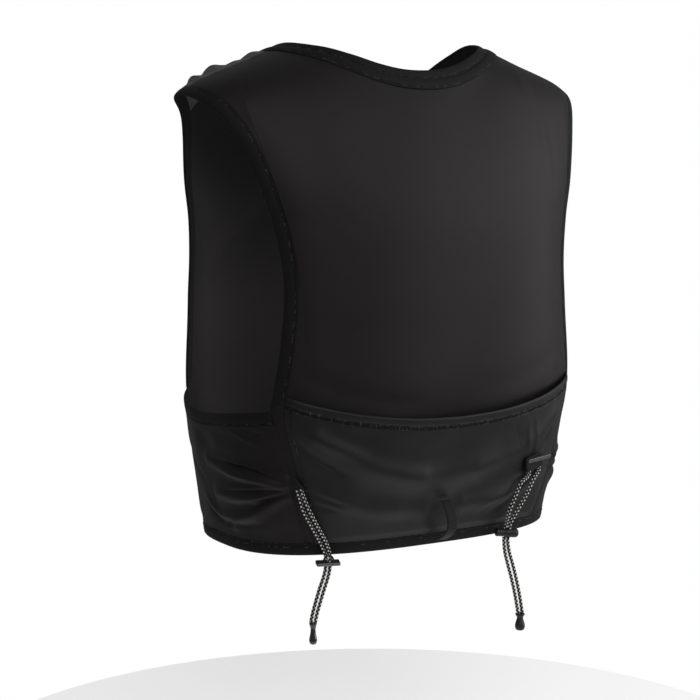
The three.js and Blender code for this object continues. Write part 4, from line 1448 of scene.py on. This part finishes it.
def folded_tab(points):
    """Thins a tab towards its top edge, where it is sewn on."""
    up = points[:, 1] / ANCHOR_LENGTH + 0.5
    thinning = mix(1, 0.45, smooth_step((up - 0.2) / 0.6))
    return np.stack([points[:, 0], points[:, 1], mix(-ANCHOR_WALL / 2, points[:, 2], thinning)], -1)


def add_fittings():
    """The tabs that the cords come out of, the strands, the right tab's bar and the two locks."""
    for side, shaping in (("left", pointed_tab), ("right", folded_tab)):
        size = (ANCHOR_WIDTHS[side], ANCHOR_LENGTH, ANCHOR_WALL)
        seat = anchor_seat(side) @ moved_by(0, 0, ANCHOR_WALL / 2)
        name = f"bungee_anchor_{side}_tab"
        slab(name, size, seat, "webbing", corner=2.5 * MM, edge=0.9 * MM, finishing=shaping)
        add_bungees(side)
    add_anchor_bar()
    add_bar_lock()
    add_barrel_lock()


def add_anchor_bar():
    """The flat bar over the right tab. One of its ends stands off."""
    aside, up, off, tilt = 3 * MM, 3.6 * MM, ANCHOR_WALL + 1.4 * MM, -14
    seat = anchor_seat("right") @ moved_by(aside, up, off) @ turned_about("y", tilt)
    slab("bungee_anchor_right_bar", ANCHOR_BAR_SIZE, seat, "metal", corner=0.8 * MM, edge=0.5 * MM)


def add_bar_lock():
    """The left lock: a flat bar, and a hook that holds the strands to it."""
    size = (BAR_LENGTH, BAR_DEPTH, BAR_WALL)
    lock = lock_seat("left")
    seat = lock @ turned_about("x", 90)
    slab("cord_lock_left_bar", size, seat, "metal", corner=1.2 * MM, edge=0.5 * MM)
    start, end, steps = -0.15 * math.pi, 1.1 * math.pi, 12
    in_front, radius = 2.4 * MM, 0.8 * MM
    arc = [
        from_seat(lock, HOOK_REACH * math.cos(turn), HOOK_RISE * math.sin(turn) + BAR_WALL / 2, in_front)
        for turn in np.linspace(start, end, steps)
    ]
    tube("cord_lock_left_hook", smooth_path(arc, radius), radius, HOOK_SIDES, "plastic")


def add_barrel_lock():
    """The right lock: a ribbed barrel that lies across the strands."""
    profile = [(radius * BARREL_WIDTH / 2, (along - 0.5) * BARREL_LENGTH) for radius, along in BARREL_PROFILE]
    seat = lock_seat("right") @ turned_about("y", 90)
    turned_piece("cord_lock_right_barrel", profile, BARREL_SIDES, seat, "plastic")


def band_wall(u, v):
    """The wall of a folded band, which its stitching draws in."""
    return FOLDED_WALL * read_table(BAND_PROFILE, "across", "full", v)


def mouth_wall(u, v):
    return FOLDED_WALL * read_table(MOUTH_PROFILE, "across", "full", 1 - v)


def flat_lift(lift):
    return lambda places, u, v: np.full(places.shape[:-1], lift)


def add_body_cloth():
    past_all = (1.5, 1.5, 1.5, 1.5)
    cloth_shell("back_panel_cloth", back_patch(), "stretch", (160, 110), back_lift, reach=past_all)
    for side, turn in SIDES.items():
        cloth_shell(
            f"front_panel_{side}_cloth", turn(front_patch()), "stretch", (60, 120), flat_lift(0),
            reach=(1.0, 1.0, 1.5, 1.5),
        )
        cloth_shell(
            f"side_panel_{side}_cloth", turn(side_patch(at_hem, under_stitch)), "stretch", (90, 90),
            side_lift, reach=(0.1, 0.1, 1.5, 1.5),
        )
        cloth_shell(
            f"shoulder_mesh_{side}_net", turn(yoke_patch()), "mesh", (150, 50), gather_lift(side),
            reach=(1.5, 1.5, 0.2, 0.2),
        )


def add_bindings():
    sunk = flat_lift(BAND_SINK)
    for side, turn in SIDES.items():
        cloth_shell(
            f"armhole_binding_{side}_band", turn(arm_binding), "binding", (300, 16), sunk, band_wall,
            reach=(0.3, 0.3, 0, 0),
        )
        cloth_shell(
            f"underarm_binding_{side}_band", turn(side_patch(under_stitch, under_height)), "binding",
            (70, 16), sunk, lambda u, v: band_wall(u, 1 - v), reach=(0.3, 0.3, 0, 0),
        )
    inner = band_beside(neck_edge, 0, NECK_BAND_WIDTH)
    outer = band_beside(neck_edge, NECK_BAND_WIDTH, 2 * NECK_BAND_WIDTH)
    raised = flat_lift(BAND_SINK + NECK_LAYER_STEP)
    cells = (300, 14)
    cloth_shell("neck_band_inner_band", inner, "binding", cells, sunk, band_wall, reach=(0, 0, 0, 1.5))
    cloth_shell("neck_band_outer_band", outer, "binding", cells, raised, band_wall)
    cloth_shell("hem_band_band", hem_patch, "binding", (360, 14), sunk, band_wall)


def add_pocket():
    def hem_lift(places, u, v):
        return pocket_cloth_lift(places) + BAND_SINK

    bag = pocket_patch(at_hem, pocket_hem_foot)
    hem = pocket_patch(pocket_hem_foot, pocket_mouth)
    reach = (0, 0, 1.2, 1.5)
    cloth_shell("back_pocket_cloth", bag, "pocket", (170, 90), pocket_cloth_lift, reach=reach)
    cloth_shell("pocket_hem_band", hem, "pocket_edge", (170, 26), hem_lift, mouth_wall)


def stitch_row(line, lift, start=0.0, end=1.0, pitch=STITCH_PITCH):
    """Middles, directions and normals of the stitches along a line on the cloth."""
    fine = np.linspace(start, end, 900)
    places = line(fine)
    points = on_body(places, lift(places) if callable(lift) else np.full(len(fine), lift))
    normals = body_normals(places)
    lengths = lengths_along(points)
    at = np.arange(pitch / 2, lengths[-1], pitch)
    middles, facing = (columns_at(at, lengths, values) for values in (points, normals))
    ahead = unit(np.gradient(middles, axis=0))
    return middles, ahead, unit(facing)


def level_line(patch, height):
    """The line that runs along a patch at one height."""
    return lambda share: patch(share, np.full(share.shape, height))


def ladder_row(first, second):
    """Cross threads between two rows of stitches that run side by side, none quite like the next."""
    count = min(len(first[0]), len(second[0]))
    slip = 0.45 * MM
    chance = np.random.default_rng(7)
    starts, ends = (
        row[0][:count] + row[1][:count] * chance.normal(0, slip, (count, 1)) for row in (first, second)
    )
    return (starts + ends) / 2, unit(ends - starts), first[2][:count]


def add_stitches(name, rows, length=STITCH_LENGTH, radius=THREAD_RADIUS):
    """Short threads, pointed at both ends and half sunk in the cloth."""
    sides = 6
    turn = turns_round(sides)
    rings = [(-0.42, 0.7), (0, 1), (0.42, 0.7)]
    body = [
        (along * length, full * radius * math.cos(t), full * radius * math.sin(t))
        for along, full in rings
        for t in turn
    ]
    template = np.array(body + [(-length / 2, 0, -radius / 2), (length / 2, 0, -radius / 2)])
    middles, ahead, facing = (np.concatenate(parts) for parts in zip(*rows))
    facing = unit(facing - ahead * (facing * ahead).sum(-1, keepdims=True))
    aside = np.cross(facing, ahead)
    basis = np.stack([ahead, aside, facing], 1)
    points = middles[:, None] + np.einsum("pk,nkc->npc", template, basis)
    faces = ring_faces(len(rings), sides)
    count = len(template)
    all_faces = [
        [corner + stitch * count for corner in face] for stitch in range(len(middles)) for face in faces
    ]
    return add_mesh(name, points.reshape(-1, 3), all_faces, "thread")


def on_band(share, profile=BAND_PROFILE):
    """How far a folded band's face stands off the body, by the share across it."""
    return BAND_SINK + FOLDED_WALL * float(read_table(profile, "across", "full", share))


def add_body_stitches():
    across, lift = BAND_STITCHES, on_band(BAND_STITCHES)
    under_binding = side_patch(under_stitch, under_height)
    lines = [
        (lambda share: arm_binding(share, across), 0, 1),
        (lambda share: under_binding(share, 1 - across), 0.01, 0.99),
    ]
    rows = [
        stitch_row(turned(line), lift, start, end)
        for turned in (lambda line: line, other_side)
        for line, start, end in lines
    ]
    add_stitches("armhole_stitches", rows)
    rows = [
        stitch_row(lambda share: beside(neck_edge, share, NECK_BAND_WIDTH * across), lift),
        stitch_row(
            lambda share: beside(neck_edge, share, NECK_BAND_WIDTH * (1 + across)), lift + NECK_LAYER_STEP
        ),
    ]
    add_stitches("neck_stitches", rows)
    rows = [stitch_row(level_line(hem_patch, height), on_band(height)) for height in HEM_STITCHES]
    add_stitches("hem_stitches", rows)


def add_pocket_stitches():
    from_edge, below_mouth = 1.6, 0.004
    band = pocket_patch(pocket_hem_foot, pocket_mouth)

    def mouth_row(rise):
        def lift(places):
            return pocket_cloth_lift(places) + on_band(1 - rise, MOUTH_PROFILE)

        return stitch_row(level_line(band, rise), lift, 0.01, 0.99, LADDER_PITCH)

    def side_line(share):
        height = mix(HEM_TOP, POCKET_MOUTH_LINE[-1]["height"] - below_mouth, share)
        return place(pocket_edge(height) - from_edge, height)

    def lift(places):
        return pocket_cloth_lift(places) + CLOTH_WALL

    rows = [mouth_row(rise) for rise in MOUTH_STITCHES]
    add_stitches("pocket_hem_stitches", rows)
    add_stitches("pocket_hem_ladder", [ladder_row(*rows)], LADDER_LENGTH, LADDER_RADIUS)
    rows = [stitch_row(line, lift) for line in (side_line, other_side(side_line))]
    add_stitches("pocket_side_stitches", rows)


def add_pole_loop():
    fullness = 0.6
    half = angle_of(POLE_LOOP_WIDTH / 2, place(0.0, POLE_LOOP_TOP))

    def patch(u, v):
        return place(mix(-half, half, u), mix(POLE_LOOP_FOOT, POLE_LOOP_TOP, v))

    def arch(places, u, v):
        rest = pocket_lift(places) + CLOTH_WALL + LAYER_GAP
        return rest + POLE_LOOP_RISE * np.sin(np.pi * np.clip(v, 0, 1)) ** fullness

    cloth_shell("pole_loop_center_tape", patch, "webbing", (16, 60), arch, STRAP_WALL)


def add_sternum_strap(level, height):
    half_clasp = CLASP_SIZE[0] / 2
    front = -body_points(place(180.0, height))[1]
    clasp_edge = 180 - math.degrees(math.atan2(half_clasp + MEET_GAP, front))
    half_strap = STRAP_WIDTH / 2 / BODY_LENGTH

    def strap(u, v):
        return place(mix(STRAP_OUTER_ANGLE, clasp_edge, u), mix(height - half_strap, height + half_strap, v))

    foot = CLOTH_WALL + LAYER_GAP
    into_clasp = {"left": (0, 4, 0, 0), "right": (4, 0, 0, 0)}
    for side, turn in SIDES.items():
        name, lift = f"sternum_strap_{level}_{side}_tape", flat_lift(foot)
        cloth_shell(name, turn(strap), "webbing", (60, 16), lift, STRAP_WALL, into_clasp[side])
    middle = foot + STRAP_WALL / 2
    seat = moved_by(0, -front - middle, height * BODY_LENGTH) @ turned_about("x", 90)
    slab(f"sternum_clasp_{level}_shell", CLASP_SIZE, seat, "plastic", corner=3 * MM, edge=1.4 * MM)


def add_room():
    """A pale floor, a white room and soft lamps, the strongest from the camera's right."""
    white, pale = (1, 1, 1), (0.9, 0.9, 0.9)
    glow, seen = 0.19, 1.0
    world = bpy.data.worlds.new("room")
    bpy.context.scene.world = world
    room = Nodes(world)
    lit, shown = (room.add("Background", None, white, strength) for strength in (glow, seen))
    room.fill(
        room.tree.nodes["World Output"].inputs["Surface"],
        room.add("MixShader", None, room.add("LightPath"), lit, shown),
    )
    bpy.context.scene.view_settings.view_transform = "Standard"
    turns = turns_round(FLOOR["sides"])
    around = FLOOR["reach"] * np.cos(turns), FLOOR["reach"] * np.sin(turns)
    edge = np.stack([*around, np.full(FLOOR["sides"], FLOOR["height"])], -1)
    floor = bpy.data.meshes.new("floor")
    floor.from_pydata(edge.tolist(), [], [range(FLOOR["sides"])])
    ground = bpy.data.objects.new("floor", floor)
    bpy.context.collection.objects.link(ground)
    shader = Shader("floor", Base_Color=pale, Roughness=0.9, Emission_Color=white, Emission_Strength=0.45)
    floor.materials.append(shader.material)
    for row in LAMPS:
        lamp = bpy.data.lights.new(row["name"], "AREA")
        lamp.size = row["size"]
        lamp.energy = row["power"]
        holder = bpy.data.objects.new(row["name"], lamp)
        holder.location = row["place"]
        ahead = Vector(LAMP_TARGET) - Vector(row["place"])
        holder.rotation_euler = ahead.to_track_quat("-Z", "Y").to_euler()
        bpy.context.collection.objects.link(holder)


add_camera()
add_tails()
add_fittings()
add_body_cloth()
add_bindings()
add_pocket()
add_body_stitches()
add_pocket_stitches()
add_pole_loop()
for strap_level, strap_height in STRAP_HEIGHTS.items():
    add_sternum_strap(strap_level, strap_height)
add_room()
